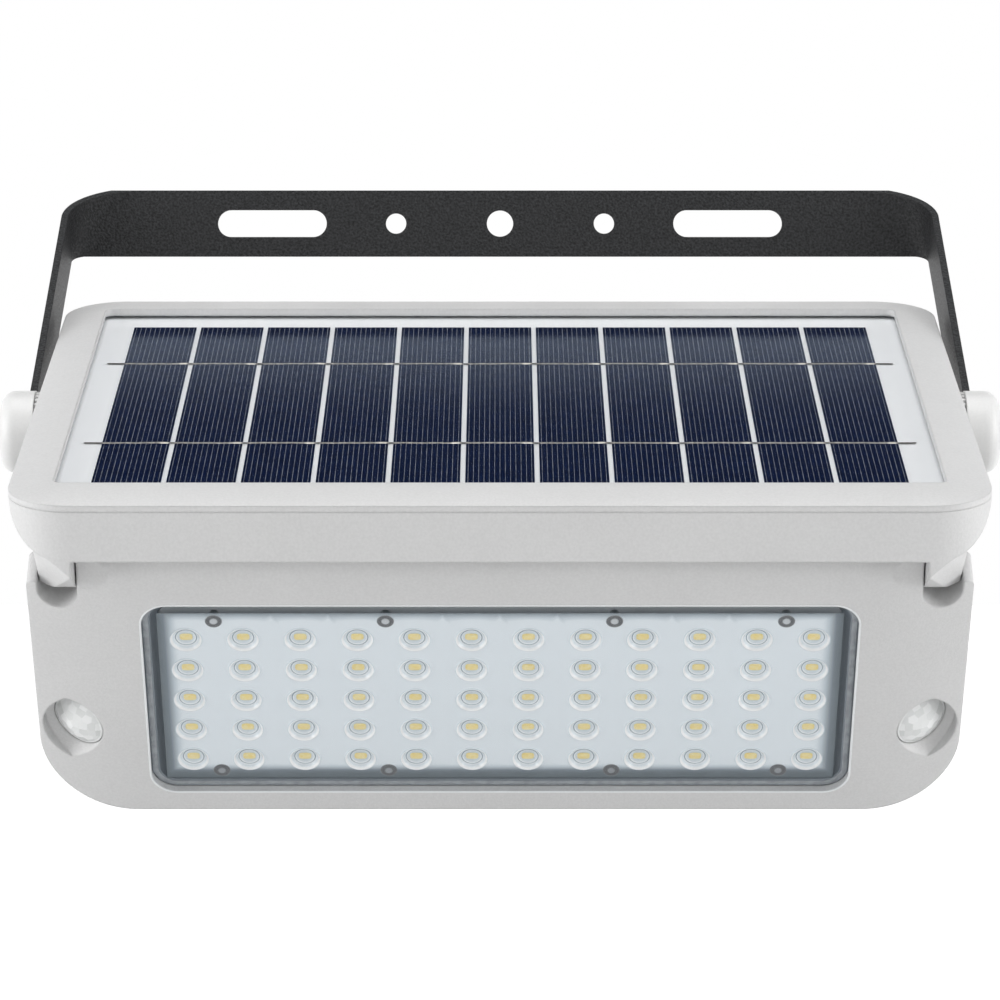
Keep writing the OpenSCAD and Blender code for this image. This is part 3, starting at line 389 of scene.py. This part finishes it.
CASING = (0.63, 0.63, 0.63)
finishes = {
    "bracket": powder_coat("charcoal_powder_coat", (0.0185, 0.019, 0.0202)),
    "casing": moulded("casing_grain", CASING, depth=0.00006, change=0.06, edge=0.0009),
    "caps": moulded("cap_satin", (0.72, 0.72, 0.715), roughness=0.35, depth=0.00001, edge=0.0006),
    "plated": metal("plated_steel", (0.60, 0.61, 0.63), 0.3),
    "ribbon": ribbon_metal(),
    "silicon": silicon(),
    "backsheet": moulded("white_backsheet", (0.90, 0.92, 0.94), roughness=0.4, grain=0.001, depth=0.00001,
                         change=0.01),
    "film": clear("panel_film", (0.012, 0.015, 0.02), 0.12, 0.96),
    "seal": soft("seal_rubber", (0.012, 0.012, 0.013)),
    # painted highlight: a white ring standing for the light along the window's rounded edge
    "rim_highlight": moulded("rim_highlight_white", (0.78, 0.80, 0.81), roughness=0.2, depth=0.00001),
    "panel_edge": soft("panel_edge_grey", (0.55, 0.57, 0.58)),
    "gasket": soft("gasket_grey", (0.26, 0.275, 0.29)),
    "dark": moulded("dark_plastic", (0.03, 0.03, 0.032), roughness=0.4, edge=0.0004),
    "frame": moulded("frame_grey", (0.17, 0.195, 0.22), roughness=0.4, edge=0.0003),
    "board": moulded("board_mask", (0.02, 0.12, 0.06), roughness=0.3, depth=0.00001),
    "white_board": moulded("white_mask", (0.82, 0.84, 0.86), roughness=0.35, depth=0.00001),
    "sleeve": moulded("cell_sleeve", (0.03, 0.09, 0.32), roughness=0.25, depth=0.00001),
    "window": clear("window_clear", (0.35, 0.42, 0.48), 0.08, 0.95),
    "lens": frosted_sheet(),
    "stake": stake_plastic(),
    "package": moulded("led_package", (0.85, 0.84, 0.80), roughness=0.3, depth=0.00001),
    "phosphor": phosphor(),
    "plate": metal("heat_plate", (0.62, 0.63, 0.65), 0.4),
    "dome": milky_lens(),
}

FINISH_OF = {
    "bracket": "bracket", "pivot_caps": "caps", "pivot_bolts": "plated", "pivot_nuts": "plated",
    "toothed_rings": "caps", "bezel": "casing", "panel_cover": "film", "solar_cells": "silicon",
    "cell_ribbons": "ribbon", "panel_backsheet": "backsheet", "panel_seal": "panel_edge", "tray": "casing",
    "tray_screws": "plated", "battery_cells": "sleeve", "battery_cradle": "dark", "control_board": "board",
    "board_parts": "dark", "mode_switch": "dark", "battery_cover": "casing", "cover_seal": "seal",
    "cover_screws": "plated", "mode_button": "dark", "tray_gland": "dark", "lamp_housing": "casing",
    "lamp_back": "casing", "back_screws": "plated", "hinge_pins": "plated", "lamp_window": "window",
    "window_seal": "seal", "inner_frame": "frame", "lens_sheet": "lens", "lens_screws": "plated",
    "led_packages": "package", "led_phosphors": "phosphor", "led_board": "white_board", "heat_plate": "plate",
    "sensor_domes": "dome", "sensor_cans": "plated", "sensor_boards": "board", "lamp_gland": "dark",
}


def dress_nodes():
    """Every node of the frame takes its finish."""
    for name, finish in FINISH_OF.items():
        mesh = nodes[name].data
        mesh.materials.clear()
        mesh.materials.append(finishes[finish])


# Lamp window: the frosted lens sheet with its cups, the phosphors, the frame and the gasket.
# Depths are millimetres along the lamp's own Y, which grows inwards.

WINDOW_HALF = (93.3, 34.85)
WINDOW_MIDDLE = -43.75
WINDOW_RADIUS = 7.0
SHEET_FRONT = -6.0
SHEET_HALF_WIDTH = 89.3
SHEET_TOP, SHEET_FOOT = -13.9, -75.6
LED_COLUMNS, LED_ROWS = 12, 5
LED_PITCH = (14.9, 11.2)
LED_MIDDLE = -45.9
# How far in from its edges the sheet comes out of the frame's painted shade: start and width of the fade
SIDE_FADE = 5.0
TOP_FADE = (-1.2, 3.2)
FOOT_FADE = (1.6, 3.6)
TILE_STEPS = 14
# Rings between a cup's rim and the edge of its part of the sheet, as shares of the way out
OUT_SHARES = np.array([0.15, 0.5, 1.0])
# A cup from its middle outwards: distance from the LED's axis, depth behind the sheet's front, and tone
# the tone column paints light: white as highlights on the cup's rings, dark for its thin rings of refraction
CUP_PROFILE = np.array([
    (0.0, 1.05, 0.52), (1.3, 1.05, 0.52), (2.2, 1.02, 0.6), (2.4, 0.98, 0.7), (2.5, 0.94, 1.0),
    (2.58, 0.86, 0.7), (2.64, 0.79, 0.15), (2.76, 0.79, 0.0), (2.84, 0.86, 0.25), (2.92, 0.94, 0.75),
    (3.02, 0.9, 0.95), (3.12, 0.83, 0.75), (3.35, 0.56, 0.62), (3.55, 0.28, 0.85), (3.7, 0.06, 1.0),
    (3.88, -0.18, 1.0), (4.02, -0.27, 1.0), (4.14, -0.26, 0.75), (4.24, -0.17, 0.45), (4.32, -0.06, 0.5),
    (4.5, 0.0, 0.7)])


def led_places():
    """Middle of every LED in the face, as arrays of X and Z."""
    x = (np.arange(LED_COLUMNS) - (LED_COLUMNS - 1) / 2) * LED_PITCH[0]
    z = LED_MIDDLE - (np.arange(LED_ROWS) - (LED_ROWS - 1) / 2) * LED_PITCH[1]
    x, z = np.meshgrid(x, z)
    return x.ravel(), z.ravel()


def copies_of(faces, points_each, count):
    """The same faces for each of several copies of a grid."""
    return (faces[None] + points_each * np.arange(count)[:, None, None]).reshape(-1, 4)


def tile_outline(x, z, steps):
    """Points round the part of the sheet that belongs to the LED at x, z: half a pitch each way, and as far
    as the sheet's edge in the outer rows and columns."""
    left = np.maximum(x - LED_PITCH[0] / 2, -SHEET_HALF_WIDTH)
    right = np.minimum(x + LED_PITCH[0] / 2, SHEET_HALF_WIDTH)
    foot, top = z - LED_PITCH[1] / 2, z + LED_PITCH[1] / 2
    top = np.where(np.isclose(z, z.max()), SHEET_TOP, top)
    foot = np.where(np.isclose(z, z.min()), SHEET_FOOT, foot)
    t = np.arange(steps) / steps

    def side(start, end):
        return start[:, None] + (end - start)[:, None] * t

    across = np.concatenate(
        [side(right, right), side(right, left), side(left, left), side(left, right)], axis=1)
    along = np.concatenate([side(foot, top), side(top, top), side(top, foot), side(foot, foot)], axis=1)
    return across - x[:, None], along - z[:, None]


def lens_skin():
    """Front of the lens sheet. Round each LED the cup's profile turns about the LED's axis, and from the
    cup's rim straight lines run out to that LED's part of the sheet."""
    x, z = led_places()
    across, along = tile_outline(x, z, TILE_STEPS)
    turn = np.arctan2(along, across)
    radius, depth, ring = CUP_PROFILE.T
    rings = radius[None, :, None] * np.stack([np.cos(turn), np.sin(turn)])[:, :, None, :]
    rim = rings[:, :, -1:, :]
    out = np.stack([across, along])[:, :, None, :]
    plan = np.concatenate([rings, rim + (out - rim) * OUT_SHARES[:, None]], axis=2)
    plan = plan + np.stack([x, z])[:, :, None, None]
    flat = np.zeros(len(OUT_SHARES))
    depth = np.concatenate([depth, flat])
    y = SHEET_FRONT + np.broadcast_to(depth[None, :, None], plan.shape[1:])
    points = np.stack([plan[0], y, plan[1]], axis=-1)
    count, rows, columns = points.shape[:3]
    faces = copies_of(grid_faces(rows, columns, wrap_columns=True), rows * columns, count)
    piece = mesh_piece(
        "lens_skin", in_lamp(points), faces[:, ::-1], "lamp_head", finishes["lens"])
    # painted shade: 'inside' is 0 at the sheet's edges, painted dark as the frame's shade, and 1 further in
    from_side = (SHEET_HALF_WIDTH - np.abs(plan[0])) / SIDE_FADE
    from_top = (SHEET_TOP - plan[1] - TOP_FADE[0]) / TOP_FADE[1]
    from_foot = (plan[1] - SHEET_FOOT - FOOT_FADE[0]) / FOOT_FADE[1]
    carry(piece, "inside", np.clip(np.minimum(np.minimum(from_side, from_top), from_foot), 0.0, 1.0))
    cup = np.concatenate([np.ones(len(radius) - 2), [0.6, 0.0], flat])
    # painted highlights and painted dark rings of the cups, carried as 'ring'
    ring = np.concatenate([ring, flat + ring[-1]])
    carry(piece, "cup", np.broadcast_to(cup[None, :, None], y.shape))
    carry(piece, "ring", np.broadcast_to(ring[None, :, None], y.shape))
    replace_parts(closed(piece), "lens_sheet")


# Painted shade: the tone of the screw heads is dark in the recess round each head
# Heads of the lens screws from the middle outwards: distance from the axis, height over the sheet and tone
STAKE_PROFILE = np.array([
    (0.0, 0.20, 1.0), (0.7, 0.19, 1.0), (0.95, 0.15, 0.85), (1.1, 0.08, 0.4), (1.22, 0.03, 0.05),
    (1.5, 0.02, 0.0), (1.85, 0.03, 0.05), (2.05, 0.05, 0.35), (2.2, 0.04, 0.75), (2.3, 0.0, 0.95),
    (0.0, 0.0, 0.95)])
STAKE_XS = LED_PITCH[0] * np.array([-5.0, -2.0, 2.0, 5.0])
STAKE_ZS = np.array([-16.75, -72.75])
STAKE_LIFT = 0.02
# painted shade: the lower row of screw heads is painted darker by this share, as the sheet's foot is shaded
STAKE_SHADE = 0.6


def sheet_stakes():
    """The heads of the screws through the lens sheet: the profile turned about each screw's axis. Those near
    the sheet's foot are painted darker, as painted shade."""
    x, z = (places.ravel()[:, None, None] for places in np.meshgrid(STAKE_XS, STAKE_ZS))
    turn = np.linspace(0.0, 2 * np.pi, 32, endpoint=False)
    radius, height, pale = (column[None, :, None] for column in STAKE_PROFILE.T)
    shape = (x.size, len(STAKE_PROFILE), turn.size)
    points = np.stack([x + radius * np.cos(turn), np.broadcast_to(SHEET_FRONT - STAKE_LIFT - height, shape),
                       z + radius * np.sin(turn)], axis=-1)
    faces = copies_of(grid_faces(shape[1], shape[2], wrap_columns=True), shape[1] * shape[2], shape[0])
    piece = mesh_piece(
        "sheet_stakes", in_lamp(points), faces[:, ::-1], "lamp_head", finishes["stake"])
    # painted shade: dark recess rings, and the lower row painted darker still
    carry(piece, "pale", np.broadcast_to(pale * np.where(z < LED_MIDDLE, STAKE_SHADE, 1.0), shape))
    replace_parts(closed(piece), "lens_screws")


# Phosphor pads: half sizes, swell, height of the edge, depth of the foot behind the sheet's front, and the
# rings of points as shares of the way to the edge, the last one back at the middle of the foot
PAD_HALF = (1.7, 1.2)
PAD_SWELL, PAD_EDGE, PAD_FOOT = 0.22, 0.02, 1.07
PAD_SHARES = np.array([0.0, 0.4, 0.75, 0.93, 1.0, 0.0])


def phosphor_pads():
    """A pad over each LED: a rounded oblong, |x/a|^4 + |z/b|^4 = 1 at its edge, that swells towards its
    middle, on a flat foot."""
    x, z = led_places()
    turn = np.linspace(0.0, 2 * np.pi, 28, endpoint=False)
    cos, sin = np.cos(turn), np.sin(turn)
    edge = (np.abs(cos / PAD_HALF[0]) ** 4 + np.abs(sin / PAD_HALF[1]) ** 4) ** (-1 / 4)
    height = PAD_SWELL * np.sqrt(1 - PAD_SHARES ** 2) + PAD_EDGE
    height[-1] = 0.0
    plan = PAD_SHARES[:, None] * edge
    shape = np.broadcast_shapes((len(x), 1, 1), plan.shape)
    points = np.stack([
        x[:, None, None] + plan * cos,
        np.broadcast_to(SHEET_FRONT + PAD_FOOT - height[None, :, None], shape),
        z[:, None, None] + plan * sin], axis=-1)
    count, rows, columns = points.shape[:3]
    faces = copies_of(grid_faces(rows, columns, wrap_columns=True), rows * columns, count)
    piece = mesh_piece(
        "phosphor_pads", in_lamp(points), faces[:, ::-1], "lamp_head", finishes["phosphor"])
    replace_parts(closed(piece), "led_phosphors")


def window_path(inset, steps=14):
    """Points round the window, inset from its edge: four quarter circles joined by straight runs."""
    inset = np.asarray(inset, float)[:, None]
    turn = np.concatenate([np.linspace(0.0, np.pi / 2, steps) + quarter * np.pi / 2 for quarter in range(4)])
    corner_x = np.repeat([1, -1, -1, 1], steps) * (WINDOW_HALF[0] - WINDOW_RADIUS)
    corner_z = np.repeat([1, 1, -1, -1], steps) * (WINDOW_HALF[1] - WINDOW_RADIUS)
    radius = WINDOW_RADIUS - inset
    return corner_x + radius * np.cos(turn), WINDOW_MIDDLE + corner_z + radius * np.sin(turn)


def round_window(name, profile, finish, node=None):
    """A closed profile of insets and depths carried round the window, which may stand for a node."""
    inset, depth = np.array(profile).T
    x, z = window_path(inset)
    y = np.broadcast_to(depth[:, None], x.shape)
    faces = grid_faces(*x.shape, wrap_rows=True, wrap_columns=True)
    piece = mesh_piece(
        name, in_lamp(np.stack([x, y, z], axis=-1)), faces, "lamp_head", finishes[finish])
    if node:
        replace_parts(piece, node)


def window_rings():
    """A thin white ring round the window's edge as a painted highlight, the grey gasket under it, and the
    stepped frame inside it with its groove round the sheet."""
    # painted highlight: a thin white ring round the window's edge
    round_window("window_rim_highlight", [
        (-0.42, -8.48), (-0.38, -8.56), (-0.22, -8.63), (-0.04, -8.62), (0.1, -8.55), (0.17, -8.42),
        (0.18, -8.3)], "rim_highlight")
    round_window("window_gasket", [
        (0.3, -6.0), (0.3, -6.2), (0.5, -6.28), (1.5, -6.28), (1.75, -6.2), (1.8, -6.0)], "gasket",
        "window_seal")
    round_window("window_frame", [
        (-1.0, -5.0), (-1.0, -5.98), (1.95, -5.98), (2.1, -5.95), (2.2, -5.85), (2.25, -5.6), (3.1, -4.4),
        (3.4, -4.15), (4.4, -4.0), (4.4, -3.9), (3.3, -3.9), (-1.0, -4.8)], "frame",
        "inner_frame")


# Motion sensors

DOME_PLACE = (112.1, -4.0, -55.7)
DOME_TURN = math.radians(31.0)
DOME_RIM, DOME_RISE = 7.2, 2.6
DOME_SPHERE = (DOME_RIM ** 2 + DOME_RISE ** 2) / (2 * DOME_RISE)
# The flange below the rim: distance from the axis and height over the rim
FLANGE = np.array([
    (7.22, -0.01), (7.42, -0.03), (7.58, -0.12), (7.66, -0.35), (7.68, -3.9), (6.0, -3.95), (0.0, -3.95)])
# Rings of facets: how far each leans from the axis, in degrees, and how many facets it has
FACET_RINGS = ((6, 3), (17, 8), (28, 13), (38, 18))
FACET_HALF_ANGLE = math.radians(6.5)
DOME_STEPS = (56, 180)


def ways_from(lean, turn):
    """Unit directions that lean from the axis by lean, turned about it by turn."""
    out = np.sin(lean)
    return np.stack([out * np.cos(turn), out * np.sin(turn), np.cos(lean) + 0 * turn], axis=-1)


def dome_facets():
    """Directions of the lens facets about the sphere's middle: rings of flats, every other one turned by
    half a flat."""
    return np.concatenate([
        ways_from(math.radians(lean), (np.arange(count) + 0.5 * (ring % 2)) * 2 * np.pi / count)
        for ring, (lean, count) in enumerate(FACET_RINGS)])


def dome_lens(name, side):
    """A shallow faceted cap: along each direction from the sphere's middle the radius ends at the nearest
    facet's plane, and never outside the sphere. Below the rim the profile goes on as a rounded flange and a
    closed skirt. Each facet carries its own painted light, a tone that is a sine of its number."""
    lean = np.linspace(0.0, math.asin(DOME_RIM / DOME_SPHERE), DOME_STEPS[0])[:, None]
    turn = np.linspace(0.0, 2 * np.pi, DOME_STEPS[1], endpoint=False)[None]
    way = ways_from(lean, turn)
    flat = DOME_SPHERE * math.cos(FACET_HALF_ANGLE)
    near = way @ dome_facets().T
    radius = np.minimum(flat / near.max(axis=-1), DOME_SPHERE)
    # painted light: each facet painted brighter or darker, as refraction through it would show
    facet_light = 0.5 + 0.5 * np.sin(2.4 * near.argmax(axis=-1) + 0.7)
    cap = way * radius[..., None] + np.array([0.0, 0.0, DOME_RISE - DOME_SPHERE])
    reach, height = FLANGE[:, :1], FLANGE[:, 1:]
    flange = np.stack([reach * np.cos(turn), reach * np.sin(turn), height + 0 * turn], axis=-1)
    u, v, w = np.moveaxis(np.concatenate([cap, flange]), -1, 0)
    c, s = math.cos(DOME_TURN), math.sin(DOME_TURN)
    x, y, z = DOME_PLACE
    points = np.stack([side * (x + c * u + s * w), y + s * u - c * w, z + v], axis=-1)
    faces = grid_faces(*u.shape, wrap_columns=True)
    if side > 0:
        faces = faces[:, ::-1]
    piece = mesh_piece(name, in_lamp(points), faces, "lamp_head", finishes["dome"])
    carry(piece, "facet_light", np.concatenate([facet_light, np.full(flange.shape[:2], 0.5)]))
    return closed(piece)


def dome_lenses():
    left, right = dome_lens("dome_lens_left", -1), dome_lens("dome_lens_right", 1)
    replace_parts(left, "sensor_domes")
    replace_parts(right, "sensor_domes")


# Cell ribbons

RIBBON_YS = (16.6, -61.4)
RIBBON_FOOT = 15.15
RIBBON_HALF_LENGTH = 110.8
RIBBON_TIP = 0.5
RIBBON_STEPS = (1400, 14)
RIBBON_CELLS_HALF = 105.8
RIBBON_PITCH = 19.359
# Along one cell, in millimetres from its left edge: the middle and half width of the solder and of the gap
SOLDER = (16.5, 1.15)
GAP = (18.7, 0.75)


def ribbon_strips():
    """Two soldered ribbons: half an ellipse across on a flat foot, closed to a blunt tip at both ends. Width,
    height and line wander along X as a sum of sines, with a bell-shaped blob of solder just before each gap
    between cells, and bare dull metal over the gap."""
    x = np.linspace(-RIBBON_HALF_LENGTH, RIBBON_HALF_LENGTH, RIBBON_STEPS[0])[:, None]
    turn = np.linspace(0.0, 2 * np.pi, RIBBON_STEPS[1], endpoint=False)[None]
    tip = np.sqrt(np.clip((RIBBON_HALF_LENGTH - np.abs(x)) / RIBBON_TIP, 0.0, 1.0))
    place = np.mod(x + RIBBON_CELLS_HALF, RIBBON_PITCH)
    on_cells = np.abs(x) < RIBBON_CELLS_HALF
    solder = np.exp(-((place - SOLDER[0]) / SOLDER[1]) ** 2) * on_cells
    gap = np.where(on_cells, np.exp(-((place - GAP[0]) / GAP[1]) ** 2), 1.0)
    for number, y in enumerate(RIBBON_YS):
        phase = 1.7 * number
        wander = 0.10 * np.sin(0.21 * x + phase) + 0.06 * np.sin(0.83 * x + 2 * phase)
        lumps = (0.5 + 0.2 * np.sin(2.1 * x + phase) + 0.15 * np.sin(5.3 * x)
                 + 0.15 * np.sin(3.7 * x + 1.0 + phase))
        half = (0.50 + 0.10 * lumps + 0.16 * solder) * tip
        rise = (0.05 + 0.06 * lumps + 0.03 * solder) * tip
        points = np.stack([x + 0 * turn, y + wander + half * np.cos(turn),
                           RIBBON_FOOT + rise * np.maximum(np.sin(turn), 0.0)], axis=-1)
        faces = grid_faces(*points.shape[:2], wrap_columns=True)
        piece = mesh_piece(
            f"ribbon_strip_{number}", in_head(points), faces, "solar_head", finishes["ribbon"])
        carry(piece, "solder", np.broadcast_to((0.3 + solder + 0.25 * lumps) * (1 - gap), points.shape[:2]))
        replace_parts(closed(piece), "cell_ribbons")


# Studio

SKY_LIGHT = 0.42
FLOOR_Z = -0.25
FLOOR_HALF = 6.0
FLOOR_LIFT = 0.75
FLAG_HALF_WIDTH, FLAG_Y, FLAG_FOOT, FLAG_TOP = 1.2, 0.6, 0.37, 1.2
FLAG_FADE = (0.395, 0.432)
FLAG_GLOW = 0.9
LAMP_AIM = (0, -0.15, -0.08)
# Soft boxes: name, place, aim, size and watts
SOFT_BOXES = (
    ("front", (0.0, -1.2, 0.3), (0, -0.2, -0.1), (1.4, 0.6), 1.2),
    ("top", (0.0, -0.35, 1.25), LAMP_AIM, (1.2, 1.0), 10.0),
    ("left", (-1.1, -0.45, 0.0), LAMP_AIM, (0.8, 0.9), 9.5),
    ("right", (1.1, -0.45, 0.0), LAMP_AIM, (0.8, 0.9), 8.8),
)


def add_area(name, place, aim, size, watts):
    light = bpy.data.lights.new(name, "AREA")
    light.shape = "RECTANGLE"
    light.size, light.size_y = size
    light.energy = watts
    lamp = bpy.data.objects.new(name, light)
    lamp.location = place
    lamp.rotation_euler = (Vector(aim) - Vector(place)).to_track_quat("-Z", "Y").to_euler()
    bpy.context.scene.collection.objects.link(lamp)


def background_ray(tree):
    """1 for the rays that should meet the plain white background: the camera's, and those through glass or
    off gloss."""
    path = tree.nodes.new("ShaderNodeLightPath")
    total = path.outputs["Is Camera Ray"]
    for name in ("Is Glossy Ray", "Is Transmission Ray"):
        larger = tree.nodes.new("ShaderNodeMath")
        larger.operation = "MAXIMUM"
        tree.links.new(total, larger.inputs[0])
        tree.links.new(path.outputs[name], larger.inputs[1])
        total = larger.outputs[0]
    return total


def scaled(tree, source, low, high):
    """source from 0 to 1 spread from low to high."""
    node = tree.nodes.new("ShaderNodeMapRange")
    node.inputs["To Min"].default_value = low
    node.inputs["To Max"].default_value = high
    tree.links.new(source, node.inputs["Value"])
    return node.outputs["Result"]


def add_world():
    """An even pale sky that is plain white as a background."""
    world = bpy.data.worlds.new("studio")
    bpy.context.scene.world = world
    world.use_nodes = True
    tree = world.node_tree
    ground = tree.nodes["Background"]
    ground.inputs["Color"].default_value = (1.0, 1.0, 1.0, 1.0)
    tree.links.new(scaled(tree, background_ray(tree), SKY_LIGHT, 1.0), ground.inputs["Strength"])


def stage_sheet(name, corners, finish):
    """A flat sheet of the studio, which isn't part of the light."""
    mesh = bpy.data.meshes.new(name)
    mesh.from_pydata(corners, [], [(0, 1, 2, 3)])
    sheet = bpy.data.objects.new(name, mesh)
    bpy.context.scene.collection.objects.link(sheet)
    mesh.materials.append(finish.material)
    return sheet


def add_floor():
    """A plain pale floor below the light. As a background it is lifted to white, and the light's shadow stays
    on it."""
    half, z = FLOOR_HALF, FLOOR_Z
    finish = Finish("floor_pale", (0.72, 0.72, 0.72), 0.9)
    finish.vary("Base Color", finish.spread(finish.noise(0.4), (0.71, 0.71, 0.71), (0.73, 0.73, 0.73)))
    finish.set(finish.shader, **{"Emission Color": (1.0, 1.0, 1.0, 1.0)})
    finish.vary("Emission Strength", scaled(finish.tree, background_ray(finish.tree), 0.0, FLOOR_LIFT))
    stage_sheet("floor", [(-half, -half, z), (half, -half, z), (half, half, z), (-half, half, z)], finish)


def add_flag():
    """A black flag behind and above, as a studio has, that fades to a cool white over its lower edge: only
    reflections see it, and it keeps the front of the panel deep."""
    finish = Finish("flag_black", (0.01, 0.01, 0.01), 0.9)
    finish.vary("Base Color", finish.spread(finish.noise(0.2), 0.008, 0.012))
    finish.set(finish.shader, **{"Emission Color": (0.72, 0.85, 1.0, 1.0)})
    split = finish.add("ShaderNodeSeparateXYZ")
    finish.link(finish.place, split.inputs["Vector"])
    fade = finish.set(finish.add("ShaderNodeMapRange"), **{
        "From Min": FLAG_FADE[0], "From Max": FLAG_FADE[1], "To Min": FLAG_GLOW, "To Max": 0.0})
    finish.link(split.outputs["Z"], fade.inputs["Value"])
    finish.vary("Emission Strength", fade.outputs["Result"])
    half, y, foot, top = FLAG_HALF_WIDTH, FLAG_Y, FLAG_FOOT, FLAG_TOP
    flag = stage_sheet("flag", [(-half, y, foot), (half, y, foot), (half, y, top), (-half, y, top)], finish)
    flag.visible_camera = False
    flag.visible_diffuse = False
    flag.visible_shadow = False
    flag.visible_transmission = False


add_camera()
dress_nodes()
lens_skin()
sheet_stakes()
phosphor_pads()
window_rings()
dome_lenses()
ribbon_strips()
add_world()
add_floor()
add_flag()
for soft_box in SOFT_BOXES:
    add_area(*soft_box)
bpy.context.scene.view_settings.view_transform = "Standard"
